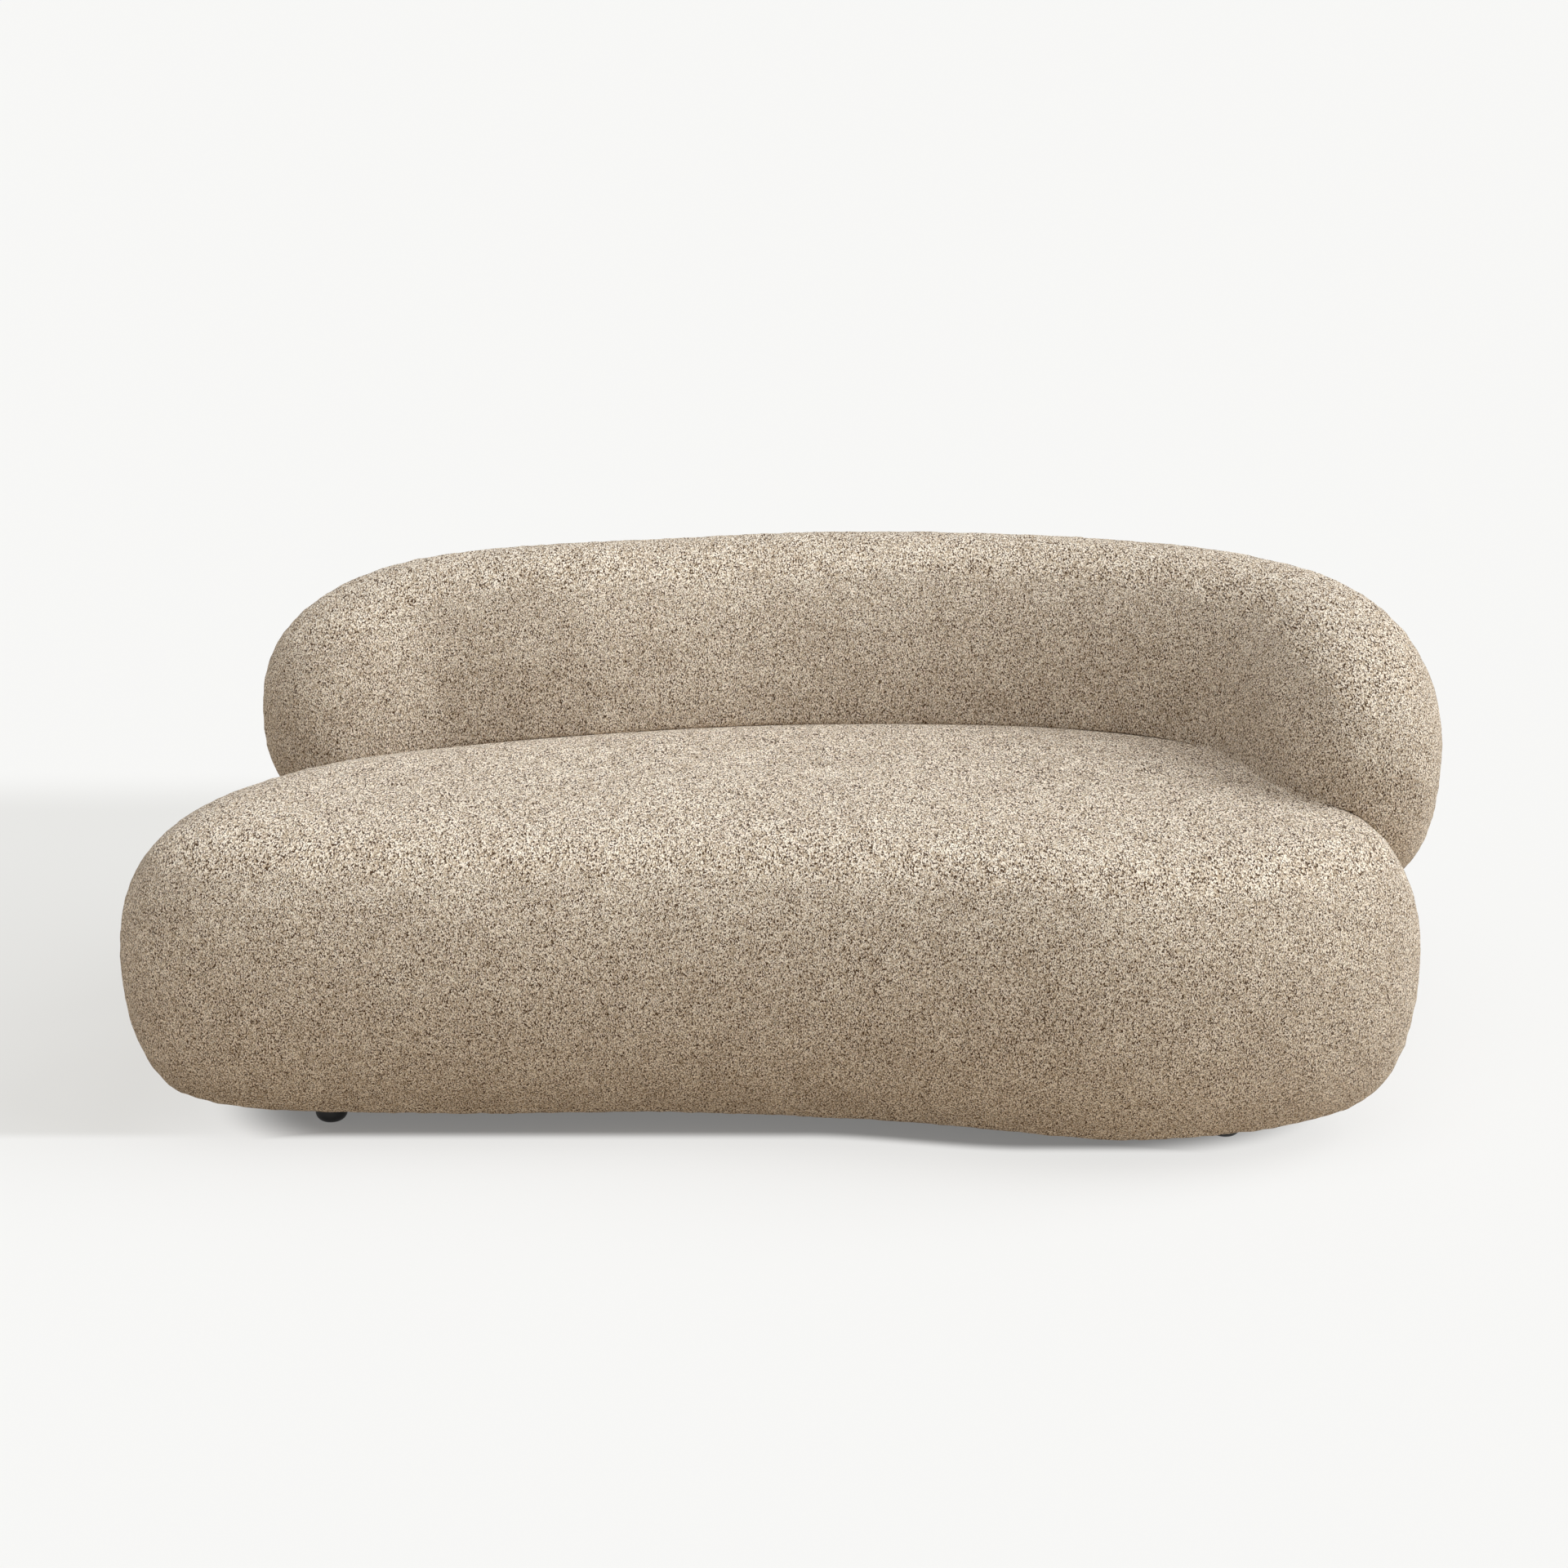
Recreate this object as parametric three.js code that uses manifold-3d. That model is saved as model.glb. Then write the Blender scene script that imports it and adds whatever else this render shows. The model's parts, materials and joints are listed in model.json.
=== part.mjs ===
// Curved sofa: a fat pebble-shaped seat on short round feet, with a separate rounded
// backrest that runs along the rear edge and wraps forward at the right-hand end.
// Millimetres, +Z up, the front faces -Y. The origin is the middle of the footprint at
// floor level.

import * as THREE from 'three';
import { mergeVertices } from 'three/addons/utils/BufferGeometryUtils.js';
import ManifoldModule from 'manifold-3d';

const wasm = await ManifoldModule();
wasm.setup();

// Clearances. Pieces that lie against each other keep the contact gap.
const contactGap = 0.3;
const weldDistance = 0.001;
const cutOverrun = 30;

// Seat, outer surface
const seatHalfWidth = 900;
const seatHalfDepth = 480;
const seatUndersideHeight = 45;
const seatWidestHeight = 242;
const seatRimHeight = 450;
const seatCrown = 12;
const seatLowerRounding = 97;
const seatTopRounding = 150;
// Exponents of the rim's superellipse: 2 is an ellipse, more is squarer.
const seatLowerExponent = 1.71;
const seatTopExponent = 2.24;

// Seen from above, anticlockwise from the right-hand end: place across, place in depth,
// and rounding of the top edge there.
const seatOutlineShares = [
  [0.947, 0.165, 0.727],
  [0.793, 0.663, 0.673],
  [0.520, 0.952, 0.840],
  [0.173, 1.090, 1.253],
  [-0.178, 1.088, 1.547],
  [-0.528, 0.948, 1.640],
  [-0.824, 0.671, 1.487],
  [-1.002, 0.227, 1.213],
  [-1.039, -0.292, 1.013],
  [-0.874, -0.558, 0.933],
  [-0.529, -0.625, 0.880],
  [-0.162, -0.617, 0.833],
  [0.180, -0.688, 0.800],
  [0.518, -0.813, 0.807],
  [0.822, -0.688, 0.807],
  [0.993, -0.373, 0.793],
];

// Backrest, outer surface. Its centre line follows the seat, so it is in shares of the
// seat's half width and half depth, from the left-hand end to the right-hand end.
const backPathShares = [
  [-0.857, 0.635],
  [-0.649, 0.948],
  [-0.354, 0.990],
  [0.080, 1.144],
  [0.533, 1.0625],
  [0.856, 0.660],
  [0.959, -0.110],
];
const backHalfThickness = 143.5;
const backHalfHeight = 250.5;
const backMiddleRise = 9;
const backMiddleHeight = seatRimHeight + backMiddleRise;
const backSectionExponent = 2.49;
const backEndExponent = 2.54;
const backLeanShare = 0.06;
// How far from each end the section starts to shrink, for its thickness and its height
const backLeftThicknessRun = 279;
const backRightThicknessRun = 348;
const backHeightRun = 600;
const backSpacingShare = 0.85;

// Upholstery layers
const coverThickness = 3.7;
const waddingThickness = 14.7;
const pressedWaddingThickness = 7.7;
const coverHemWidth = 38;
const dustCoverThickness = 1;
const dustCoverInset = 120;

// Seat frame: two plywood rings, posts between them, and a bent board round the outside
const boardThickness = 18;
const baseBoardSetback = 18;
const baseBoardInset = seatLowerRounding + baseBoardSetback;
const deckRingInset = 85;
const deckDepth = 132;
const deckHeight = seatRimHeight - deckDepth;
const sideBoardThickness = 4;
const ringHoleWidthShare = 0.62;
const ringHoleDepthShare = 0.52;
const ringHoleCentreWidthShare = -0.017;
const ringHoleCentreDepthShare = 0.146;
const baseWebWidth = 170;
const seatPostWidth = 40;
const seatPostSetback = 20;
const seatPostInset = baseBoardInset + seatPostSetback + seatPostWidth / 2;
const seatPostShares = [0.0, 0.1625, 0.32, 0.4625, 0.6875, 0.755];
const crossRailWidth = 30;
const crossRailHeight = 60;
const crossRailSideShare = 0.367;
const crossRailInset = 110;

// Elastic webbing over the deck ring, front to back, then two long straps over those
const strapWidth = 60;
const strapThickness = 1.5;
const crossStrapInset = 120;
const longStrapInset = 180;
const crossStrapShares = [-0.66, -0.36, -0.13, 0.2, 0.37, 0.54];
const longStrapShares = [-0.125, 0.27];
const webbingHeadroom = 5;

// Feet
const footDiameter = 50;
const footBottomRounding = 12;
const footTaper = 2;
const footPlaceShares = [
  [-0.722, -0.252],
  [0.703, -0.358],
  [0.640, 0.440],
  [-0.645, 0.455],
  [0.0, 0.150],
];
const studDiameter = 8;
const studSocketDepth = 25;
const studTopReach = 6;
const studClearance = 0.3;
const nutFlangeDiameter = 22;
const nutFlangeThickness = 1.5;
const nutBarrelDiameter = 11;
const nutBarrelLength = 11;

// Backrest frame: a narrow lower rail that clears the seat's edge, a wide upper rail,
// posts between them and a board on each face. Offsets from the centre line are positive
// towards the sitter.
const backFrameEndRun = 240;
const lowerRailFront = -16;
const lowerRailRear = -52;
const lowerRailHeight = 34;
const upperRailFront = 35;
const upperRailRear = -75;
const upperRailDepth = 91.5;
const upperRailTopHeight = backMiddleHeight + backHalfHeight - upperRailDepth;
const frameFoamCover = 4;
const backBoardThickness = 4;
const backPostWidth = 40;
const backPostShares = [0.03, 0.27, 0.5, 0.73, 0.97];
const seatClearanceOfFrame = 22;

// Steel plates that join the backrest's lower rail to the seat's deck ring
const plateShares = [0.2, 0.43, 0.8];
const plateWidth = 60;
const plateThickness = 8;
const plateEndMargin = 6;
const plateSlotClearance = 1;
const plateFitStep = 1;
const screwHeadDiameter = 14;
const screwHeadHeight = 5;
const screwShankDiameter = 7.5;
const screwGrip = 16;
const screwClearance = 0.4;

// Facets and curves
const outlineSteps = 44;
const seatLowerSteps = 4;
const seatUpperSteps = 4;
const seatCrownSteps = 3;
const backAroundSteps = 16;
const backAlongSteps = 26;
const railSteps = 26;
const roundSteps = 16;
const smallRoundSteps = 10;
const hexSides = 6;
const footRoundingSteps = 3;
const curveTension = 0.5;
const lengthDivisions = 1000;

const materials = {
  cover: new THREE.MeshStandardMaterial({ color: 0xab9883, roughness: 0.95, metalness: 0 }),
  wadding: new THREE.MeshStandardMaterial({ color: 0xf1efe9, roughness: 1, metalness: 0 }),
  foam: new THREE.MeshStandardMaterial({ color: 0xe9dfc3, roughness: 0.95, metalness: 0 }),
  wood: new THREE.MeshStandardMaterial({ color: 0xc8a574, roughness: 0.7, metalness: 0 }),
  webbing: new THREE.MeshStandardMaterial({ color: 0x3b3a38, roughness: 0.9, metalness: 0 }),
  dustCover: new THREE.MeshStandardMaterial({ color: 0x1d1d1e, roughness: 0.95, metalness: 0 }),
  foot: new THREE.MeshStandardMaterial({ color: 0x141414, roughness: 0.5, metalness: 0 }),
  steel: new THREE.MeshStandardMaterial({ color: 0xa9abad, roughness: 0.4, metalness: 1 }),
};

const sofa = new THREE.Group();
const seatGroup = new THREE.Group();
const backGroup = new THREE.Group();
sofa.add(seatGroup, backGroup);

// Solids: plain geometry to manifold and back

function solidOf(geometry) {
  const bare = new THREE.BufferGeometry();
  bare.setAttribute('position', geometry.getAttribute('position').clone());
  if (geometry.index) bare.setIndex(geometry.index.clone());
  const merged = mergeVertices(bare, weldDistance);
  const corners = merged.index.array;
  const triVerts = [];
  for (let i = 0; i < corners.length; i += 3) {
    const [a, b, c] = [corners[i], corners[i + 1], corners[i + 2]];
    if (a !== b && b !== c && c !== a) triVerts.push(a, b, c);
  }
  return new wasm.Manifold(new wasm.Mesh({
    numProp: 3,
    vertProperties: new Float32Array(merged.getAttribute('position').array),
    triVerts: new Uint32Array(triVerts),
  }));
}

function geometryOf(solid) {
  const mesh = solid.getMesh();
  const geometry = new THREE.BufferGeometry();
  geometry.setAttribute('position', new THREE.BufferAttribute(mesh.vertProperties, 3));
  geometry.setIndex(new THREE.BufferAttribute(mesh.triVerts, 1));
  return geometry;
}

function cut(solid, ...tools) {
  return tools.reduce((left, tool) => left.subtract(tool), solid);
}

function place(group, name, geometry, material) {
  const mesh = new THREE.Mesh(geometry, material);
  mesh.name = name;
  group.add(mesh);
  return mesh;
}

// Surfaces made of rings of points

// Flat caps are cut into triangles that turn the same way as the polygon they fill.
function capFaces(shape) {
  const polygonTurn = Math.sign(THREE.ShapeUtils.area(shape));
  return THREE.ShapeUtils.triangulateShape(shape, []).map((face) => {
    const turn = Math.sign(THREE.ShapeUtils.area(face.map((corner) => shape[corner])));
    return turn === polygonTurn ? face : [face[0], face[2], face[1]];
  });
}

// Joins rings of equal length into a closed surface. A ring of one point is a pole. Open
// ends are filled with the cap's shape.
function ringSolid(rings, cap = null) {
  const points = rings.flat();
  const starts = [];
  rings.reduce((start, ring) => { starts.push(start); return start + ring.length; }, 0);
  const count = Math.max(...rings.map((ring) => ring.length));
  const faces = [];
  for (let i = 0; i < rings.length - 1; i += 1) {
    const next = i + 1;
    const here = (j) => starts[i] + (rings[i].length === 1 ? 0 : j % count);
    const there = (j) => starts[next] + (rings[next].length === 1 ? 0 : j % count);
    for (let j = 0; j < count; j += 1) {
      if (rings[i].length > 1) faces.push([here(j), here(j + 1), there(j + 1)]);
      if (rings[next].length > 1) faces.push([here(j), there(j + 1), there(j)]);
    }
  }
  if (cap) {
    const end = starts[rings.length - 1];
    for (const [a, b, c] of capFaces(cap)) {
      faces.push([a, c, b]);
      faces.push([end + a, end + b, end + c]);
    }
  }
  return outward(points, faces);
}

function outward(points, faces) {
  const turned = new THREE.Vector3();
  let volume = 0;
  for (const [a, b, c] of faces) {
    volume += points[a].dot(turned.crossVectors(points[b], points[c]));
  }
  const geometry = new THREE.BufferGeometry().setFromPoints(points);
  geometry.setIndex(faces.flatMap(([a, b, c]) => (volume < 0 ? [a, c, b] : [a, b, c])));
  return geometry;
}

// Seat outline

const seatOutlineCurve = new THREE.CatmullRomCurve3(
  seatOutlineShares.map(([across, deep, rounding]) => new THREE.Vector3(
    across * seatHalfWidth,
    deep * seatHalfDepth,
    rounding * seatTopRounding,
  )),
  true,
  'catmullrom',
  curveTension,
);

// A station holds a place on the outline, the way out of the seat there, and the rounding.
function seatStation(share) {
  const point = seatOutlineCurve.getPoint(share);
  const tangent = seatOutlineCurve.getTangent(share);
  const across = new THREE.Vector2(tangent.y, -tangent.x).normalize();
  return { x: point.x, y: point.y, rounding: point.z, out: across };
}

const seatStations = Array.from(
  { length: outlineSteps },
  (_, i) => seatStation(i / outlineSteps),
);

function insetPoint(station, inset, height) {
  return new THREE.Vector3(
    station.x - station.out.x * inset,
    station.y - station.out.y * inset,
    height,
  );
}

function seatRing(inset, height) {
  return seatStations.map((station) => insetPoint(station, inset, height));
}

// One quarter of the rim: a superellipse from its widest point (turn 0) to its flat end,
// moved inwards by the inset at right angles to the surface.
function rimPoint(turn, radius, height, exponent, inset) {
  const cosine = Math.cos(turn);
  const sine = Math.sin(turn);
  const normalOut = Math.pow(cosine, 2 - 2 / exponent) / radius;
  const normalUp = Math.pow(sine, 2 - 2 / exponent) / height;
  const steep = Math.hypot(normalOut, normalUp);
  return {
    inset: radius * (1 - Math.pow(cosine, 2 / exponent)) + inset * normalOut / steep,
    rise: height * Math.pow(sine, 2 / exponent) - inset * normalUp / steep,
  };
}

// The seat's skin moved inwards by the inset, or outwards where it is negative.
function seatLayer(inset) {
  const quarter = Math.PI / 2;
  const lowerSpan = seatWidestHeight - seatUndersideHeight;
  const upperSpan = seatRimHeight - seatWidestHeight;
  const rings = [[new THREE.Vector3(0, 0, seatUndersideHeight + inset)]];
  for (let i = seatLowerSteps; i > 0; i -= 1) {
    const turn = quarter * i / seatLowerSteps;
    const at = rimPoint(turn, seatLowerRounding, lowerSpan, seatLowerExponent, inset);
    rings.push(seatRing(at.inset, seatWidestHeight - at.rise));
  }
  for (let i = 0; i <= seatUpperSteps; i += 1) {
    const turn = quarter * i / seatUpperSteps;
    rings.push(seatStations.map((station) => {
      const at = rimPoint(turn, station.rounding, upperSpan, seatTopExponent, inset);
      return insetPoint(station, at.inset, seatWidestHeight + at.rise);
    }));
  }
  const rim = rings[rings.length - 1];
  for (let i = 1; i < seatCrownSteps; i += 1) {
    const towards = 1 - i / seatCrownSteps;
    const height = seatRimHeight - inset + seatCrown * (1 - towards * towards);
    rings.push(rim.map((point) => new THREE.Vector3(point.x * towards, point.y * towards, height)));
  }
  rings.push([new THREE.Vector3(0, 0, seatRimHeight - inset + seatCrown)]);
  return solidOf(ringSolid(rings));
}

// A straight-sided solid with the seat's plan at this inset, between two heights.
function seatPrism(inset, low, high) {
  return planPrism(seatRing(inset, low), low, high);
}

function planPrism(plan, low, high) {
  const centre = new THREE.Vector3();
  plan.forEach((point) => centre.addScaledVector(point, 1 / plan.length));
  const levels = [low, high].map((height) => plan.map((point) => point.clone().setZ(height)));
  const poles = [low, high].map((height) => [centre.clone().setZ(height)]);
  return solidOf(ringSolid([poles[0], ...levels, poles[1]]));
}

// Backrest centre line

const backCurve = new THREE.CatmullRomCurve3(
  backPathShares.map(([across, deep]) => new THREE.Vector3(
    across * seatHalfWidth,
    deep * seatHalfDepth,
    0,
  )),
  false,
  'catmullrom',
  curveTension,
);
backCurve.arcLengthDivisions = lengthDivisions;
const backLength = backCurve.getLength();

// A station holds a place on the centre line and the way towards the sitter.
function backStation(run) {
  const share = run / backLength;
  const point = backCurve.getPointAt(share);
  const tangent = backCurve.getTangentAt(share);
  const towards = new THREE.Vector2(tangent.y, -tangent.x).normalize();
  return { x: point.x, y: point.y, out: towards };
}

function backPoint(station, offset, height) {
  return insetPoint(station, -offset, height);
}

// How much of its full size the section has, between ends that round off over a run.
function endShare(from, length, leftRun, rightRun) {
  const rounded = (share) => {
    const short = 1 - Math.min(share, 1);
    return Math.pow(1 - Math.pow(short, backEndExponent), 1 / backEndExponent);
  };
  return rounded(from / leftRun) * rounded((length - from) / rightRun);
}

function signedPower(value, exponent) {
  return Math.sign(value) * Math.pow(Math.abs(value), exponent);
}

// The backrest's skin moved inwards by the inset: a superellipse section that leans away
// from the sitter and shrinks towards both ends.
function backLayer(inset) {
  const length = backLength - 2 * inset;
  const rings = [];
  for (let i = 0; i <= backAlongSteps; i += 1) {
    const share = i / backAlongSteps;
    const turn = 2 * Math.PI * share;
    const from = length * (share - backSpacingShare * Math.sin(turn) / (2 * Math.PI));
    const station = backStation(inset + from);
    const thick = (backHalfThickness - inset) * endShare(
      from, length, backLeftThicknessRun - inset, backRightThicknessRun - inset);
    const tall = (backHalfHeight - inset) * endShare(
      from, length, backHeightRun - inset, backHeightRun - inset);
    if (i === 0 || i === backAlongSteps) {
      rings.push([backPoint(station, 0, backMiddleHeight)]);
    } else {
      rings.push(backSection(station, thick, tall));
    }
  }
  return solidOf(ringSolid(rings));
}

function backSection(station, thick, tall) {
  return Array.from({ length: backAroundSteps }, (_, i) => {
    const turn = 2 * Math.PI * i / backAroundSteps;
    const across = thick * signedPower(Math.cos(turn), 2 / backSectionExponent);
    const up = tall * signedPower(Math.sin(turn), 2 / backSectionExponent);
    return backPoint(station, across - backLeanShare * up, backMiddleHeight + up);
  });
}

// A section of offset and height pairs, carried along the backrest's centre line.
function backSweep(section, endRun) {
  const rings = Array.from({ length: railSteps + 1 }, (_, i) => {
    const run = endRun + (backLength - 2 * endRun) * i / railSteps;
    const station = backStation(run);
    return section.map(([offset, height]) => backPoint(station, offset, height));
  });
  const cap = section.map(([offset, height]) => new THREE.Vector2(offset, height));
  return ringSolid(rings, cap);
}

// The seat's outer surface swollen by a distance, which the backrest's pieces stay out of.
function clearOfSeat(solid, distance) {
  return solid.subtract(seatLayer(-distance));
}

// Small turned and straight pieces, standing on a point

function round(radius, height, x, y, z, sides = smallRoundSteps) {
  const geometry = new THREE.CylinderGeometry(radius, radius, height, sides);
  geometry.rotateX(Math.PI / 2);
  geometry.translate(x, y, z + height / 2);
  return geometry;
}

function orientedBox(length, width, height, centre, direction) {
  const geometry = new THREE.BoxGeometry(length, width, height);
  geometry.rotateZ(Math.atan2(direction.y, direction.x));
  geometry.translate(centre.x, centre.y, centre.z);
  return geometry;
}

// Places of the feet and the joining plates, which several pieces are cut for

const feet = footPlaceShares.map(([across, deep]) => ({
  x: across * seatHalfWidth,
  y: deep * seatHalfDepth,
}));
const dustCoverTop = seatUndersideHeight - contactGap;
const dustCoverBottom = dustCoverTop - dustCoverThickness;
const footHeight = dustCoverBottom - contactGap;
const baseBoardBottom = seatUndersideHeight + coverThickness + contactGap;
const baseBoardTop = baseBoardBottom + boardThickness;
const deckRingBottom = deckHeight - boardThickness;
const studHoleRadius = studDiameter / 2 + studClearance;
const studBottom = footHeight - studSocketDepth + contactGap;
const studTop = baseBoardTop + studTopReach;
const studHoles = feet.map(({ x, y }) => (
  solidOf(round(studHoleRadius, studTop, x, y, studBottom - contactGap))));

// How far inside the seat's outline a place lies.
function depthInsideSeat(x, y) {
  let nearest = Infinity;
  for (const station of seatStations) {
    const inside = (station.x - x) * station.out.x + (station.y - y) * station.out.y;
    const distance = Math.hypot(station.x - x, station.y - y);
    if (distance < Math.abs(nearest)) nearest = Math.sign(inside) * distance;
  }
  return nearest;
}

// The plate runs from the lower rail's rear edge to this far inside the seat's outline.
const plateReachInset = deckRingInset + 2 * plateEndMargin + plateWidth;

function plateLayout(share) {
  const station = backStation(backLength * share);
  const rearEnd = lowerRailRear + plateEndMargin;
  let frontEnd = lowerRailFront;
  while (frontEnd < seatHalfDepth) {
    const inside = backPoint(station, frontEnd, 0);
    if (depthInsideSeat(inside.x, inside.y) > plateReachInset) break;
    frontEnd += plateFitStep;
  }
  const railScrew = (lowerRailFront + lowerRailRear) / 2;
  const ringScrew = frontEnd - plateWidth / 2;
  const middle = (rearEnd + frontEnd) / 2;
  const height = deckHeight + contactGap;
  return {
    station,
    length: frontEnd - rearEnd,
    centre: backPoint(station, middle, height + plateThickness / 2),
    screws: [railScrew, ringScrew].map((offset) => backPoint(station, offset, height)),
  };
}

const plates = plateShares.map(plateLayout);

function plateSlot({ station, length, centre }) {
  const wider = 2 * plateSlotClearance;
  return solidOf(orientedBox(
    length + wider, plateWidth + wider, plateThickness + wider, centre, station.out));
}

function screwSlot(screw) {
  const radius = screwHeadDiameter / 2 + plateSlotClearance;
  const height = plateThickness + contactGap + screwHeadHeight + plateSlotClearance;
  return solidOf(round(radius, height, screw.x, screw.y, screw.z));
}

function screwHole(screw) {
  const radius = screwShankDiameter / 2 + screwClearance;
  const bottom = deckHeight - screwGrip - contactGap;
  const height = screwGrip + 2 * contactGap + plateThickness + plateSlotClearance;
  return solidOf(round(radius, height, screw.x, screw.y, bottom));
}

const plateSlots = plates.flatMap((plate) => [plateSlot(plate), ...plate.screws.map(screwSlot)]);
const screwHoles = plates.flatMap((plate) => plate.screws.map(screwHole));
const jointRoom = [...plateSlots, ...screwHoles];

// Seat frame

// The hole in both rings is the outline drawn in towards a centre.
function ringHole(low, high) {
  const centreX = ringHoleCentreWidthShare * seatHalfWidth;
  const centreY = ringHoleCentreDepthShare * seatHalfDepth;
  const plan = seatStations.map((station) => new THREE.Vector3(
    centreX + (station.x - centreX) * ringHoleWidthShare,
    centreY + (station.y - centreY) * ringHoleDepthShare,
    low,
  ));
  return planPrism(plan, low, high);
}

function makeBaseBoard() {
  const low = baseBoardBottom - cutOverrun;
  const high = baseBoardTop + cutOverrun;
  const web = new THREE.BoxGeometry(baseWebWidth, 4 * seatHalfDepth, 2 * (high - low));
  const holes = ringHole(low, high).subtract(solidOf(web));
  const board = seatPrism(baseBoardInset, baseBoardBottom, baseBoardTop);
  const nutHoles = feet.map(({ x, y }) => solidOf(round(
    nutBarrelDiameter / 2 + studClearance, boardThickness + 2 * cutOverrun, x, y, low)));
  place(seatGroup, 'seat_base_board', geometryOf(cut(board, holes, ...nutHoles)), materials.wood);
}

function makeDeckRing() {
  const ring = seatPrism(deckRingInset, deckRingBottom, deckHeight);
  const hole = ringHole(deckRingBottom - cutOverrun, deckHeight + cutOverrun);
  place(seatGroup, 'seat_deck_ring', geometryOf(cut(ring, hole, ...screwHoles)), materials.wood);
}

// The form round both rings' edges, this far outside them, with its ends run on by the overrun.
function frameForm(outside, overrun) {
  const lower = baseBoardInset - outside;
  const upper = deckRingInset - outside;
  const low = baseBoardBottom - overrun;
  const high = deckHeight + overrun;
  return solidOf(ringSolid([
    [new THREE.Vector3(0, 0, low)],
    seatRing(lower, low),
    seatRing(lower, baseBoardTop),
    seatRing(upper, deckRingBottom),
    seatRing(upper, high),
    [new THREE.Vector3(0, 0, high)],
  ]));
}

// The bent board lies against the edges of both rings.
function makeSideBoard() {
  const outer = frameForm(contactGap + sideBoardThickness, 0);
  const board = outer.subtract(frameForm(contactGap, cutOverrun));
  place(seatGroup, 'seat_side_board', geometryOf(board), materials.wood);
}

function makeSeatPosts() {
  const low = baseBoardTop + contactGap;
  const height = deckRingBottom - contactGap - low;
  seatPostShares.forEach((share, i) => {
    const station = seatStation(share);
    const post = place(
      seatGroup,
      `seat_post_${i + 1}`,
      new THREE.BoxGeometry(seatPostWidth, seatPostWidth, height),
      materials.wood,
    );
    post.position.copy(insetPoint(station, seatPostInset, low + height / 2));
    post.rotation.z = Math.atan2(station.out.y, station.out.x);
  });
}

// Front and rear crossings of a line at this place across, on the outline at an inset.
function depthSpan(x, inset) {
  return lineSpan(seatRing(inset, 0), 'x', 'y', x);
}

function widthSpan(y, inset) {
  return lineSpan(seatRing(inset, 0), 'y', 'x', y);
}

function lineSpan(ring, fixed, measured, value) {
  const crossings = [];
  ring.forEach((here, i) => {
    const next = ring[(i + 1) % ring.length];
    if ((here[fixed] - value) * (next[fixed] - value) > 0) return;
    const share = (value - here[fixed]) / (next[fixed] - here[fixed]);
    crossings.push(here[measured] + (next[measured] - here[measured]) * share);
  });
  return [Math.min(...crossings), Math.max(...crossings)];
}

function makeCrossRails() {
  const top = deckRingBottom - contactGap;
  [-1, 1].forEach((side, i) => {
    const x = side * crossRailSideShare * seatHalfWidth;
    const [front, rear] = depthSpan(x, crossRailInset + crossRailWidth);
    const rail = place(
      seatGroup,
      `seat_cross_rail_${i + 1}`,
      new THREE.BoxGeometry(crossRailWidth, rear - front, crossRailHeight),
      materials.wood,
    );
    rail.position.set(x, (front + rear) / 2, top - crossRailHeight / 2);
  });
}

function makeStraps() {
  const lower = deckHeight + contactGap;
  crossStrapShares.forEach((share, i) => {
    const x = share * seatHalfWidth;
    const [front, rear] = depthSpan(x, crossStrapInset);
    const geometry = new THREE.BoxGeometry(strapWidth, rear - front, strapThickness);
    const strap = place(seatGroup, `webbing_cross_${i + 1}`, geometry, materials.webbing);
    strap.position.set(x, (front + rear) / 2, lower + strapThickness / 2);
  });
  const upper = lower + strapThickness + contactGap;
  longStrapShares.forEach((share, i) => {
    const y = share * seatHalfDepth;
    const [left, right] = widthSpan(y, longStrapInset);
    const geometry = new THREE.BoxGeometry(right - left, strapWidth, strapThickness);
    const strap = place(seatGroup, `webbing_long_${i + 1}`, geometry, materials.webbing);
    strap.position.set((left + right) / 2, y, upper + strapThickness / 2);
  });
}

// Seat upholstery

const foamInset = coverThickness + contactGap + waddingThickness + contactGap;
const topFoamBottom = deckHeight + webbingHeadroom;
const topLayersBottom = topFoamBottom + contactGap;

// Everything above a height, as a block to cut with.
function blockAbove(height) {
  const block = new THREE.BoxGeometry(4 * seatHalfWidth, 4 * seatHalfDepth, seatRimHeight);
  block.translate(0, 0, height + seatRimHeight / 2);
  return solidOf(block);
}

// The layers are made from the outside in, and each gives way to the one outside it. The
// soft wadding lies over the top foam only; the sides are bare foam.
function makeSeatUpholstery() {
  const hemInset = seatLowerRounding + coverHemWidth;
  const opening = seatPrism(hemInset, -cutOverrun, baseBoardTop);
  const cover = cut(seatLayer(0), seatLayer(coverThickness), opening, ...jointRoom);
  place(seatGroup, 'seat_cover', geometryOf(cover), materials.cover);

  const waddingInset = coverThickness + contactGap;
  const above = blockAbove(topLayersBottom);
  const shell = seatLayer(waddingInset).subtract(seatLayer(waddingInset + waddingThickness));
  const wadding = cut(shell.intersect(above), cover, ...jointRoom);
  place(seatGroup, 'seat_wadding', geometryOf(wadding), materials.wadding);

  const topFoam = cut(seatLayer(foamInset).intersect(above), wadding, ...jointRoom);
  place(seatGroup, 'seat_top_foam', geometryOf(topFoam), materials.foam);

  const core = frameForm(contactGap + sideBoardThickness + contactGap, cutOverrun);
  const edgeFoam = cut(
    seatLayer(waddingInset), core, blockAbove(topFoamBottom), cover, ...jointRoom);
  place(seatGroup, 'seat_edge_foam', geometryOf(edgeFoam), materials.foam);
}

function makeDustCover() {
  const sheet = seatPrism(dustCoverInset, dustCoverBottom, dustCoverTop);
  place(seatGroup, 'dust_cover', geometryOf(cut(sheet, ...studHoles)), materials.dustCover);
}

// Feet

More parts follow.
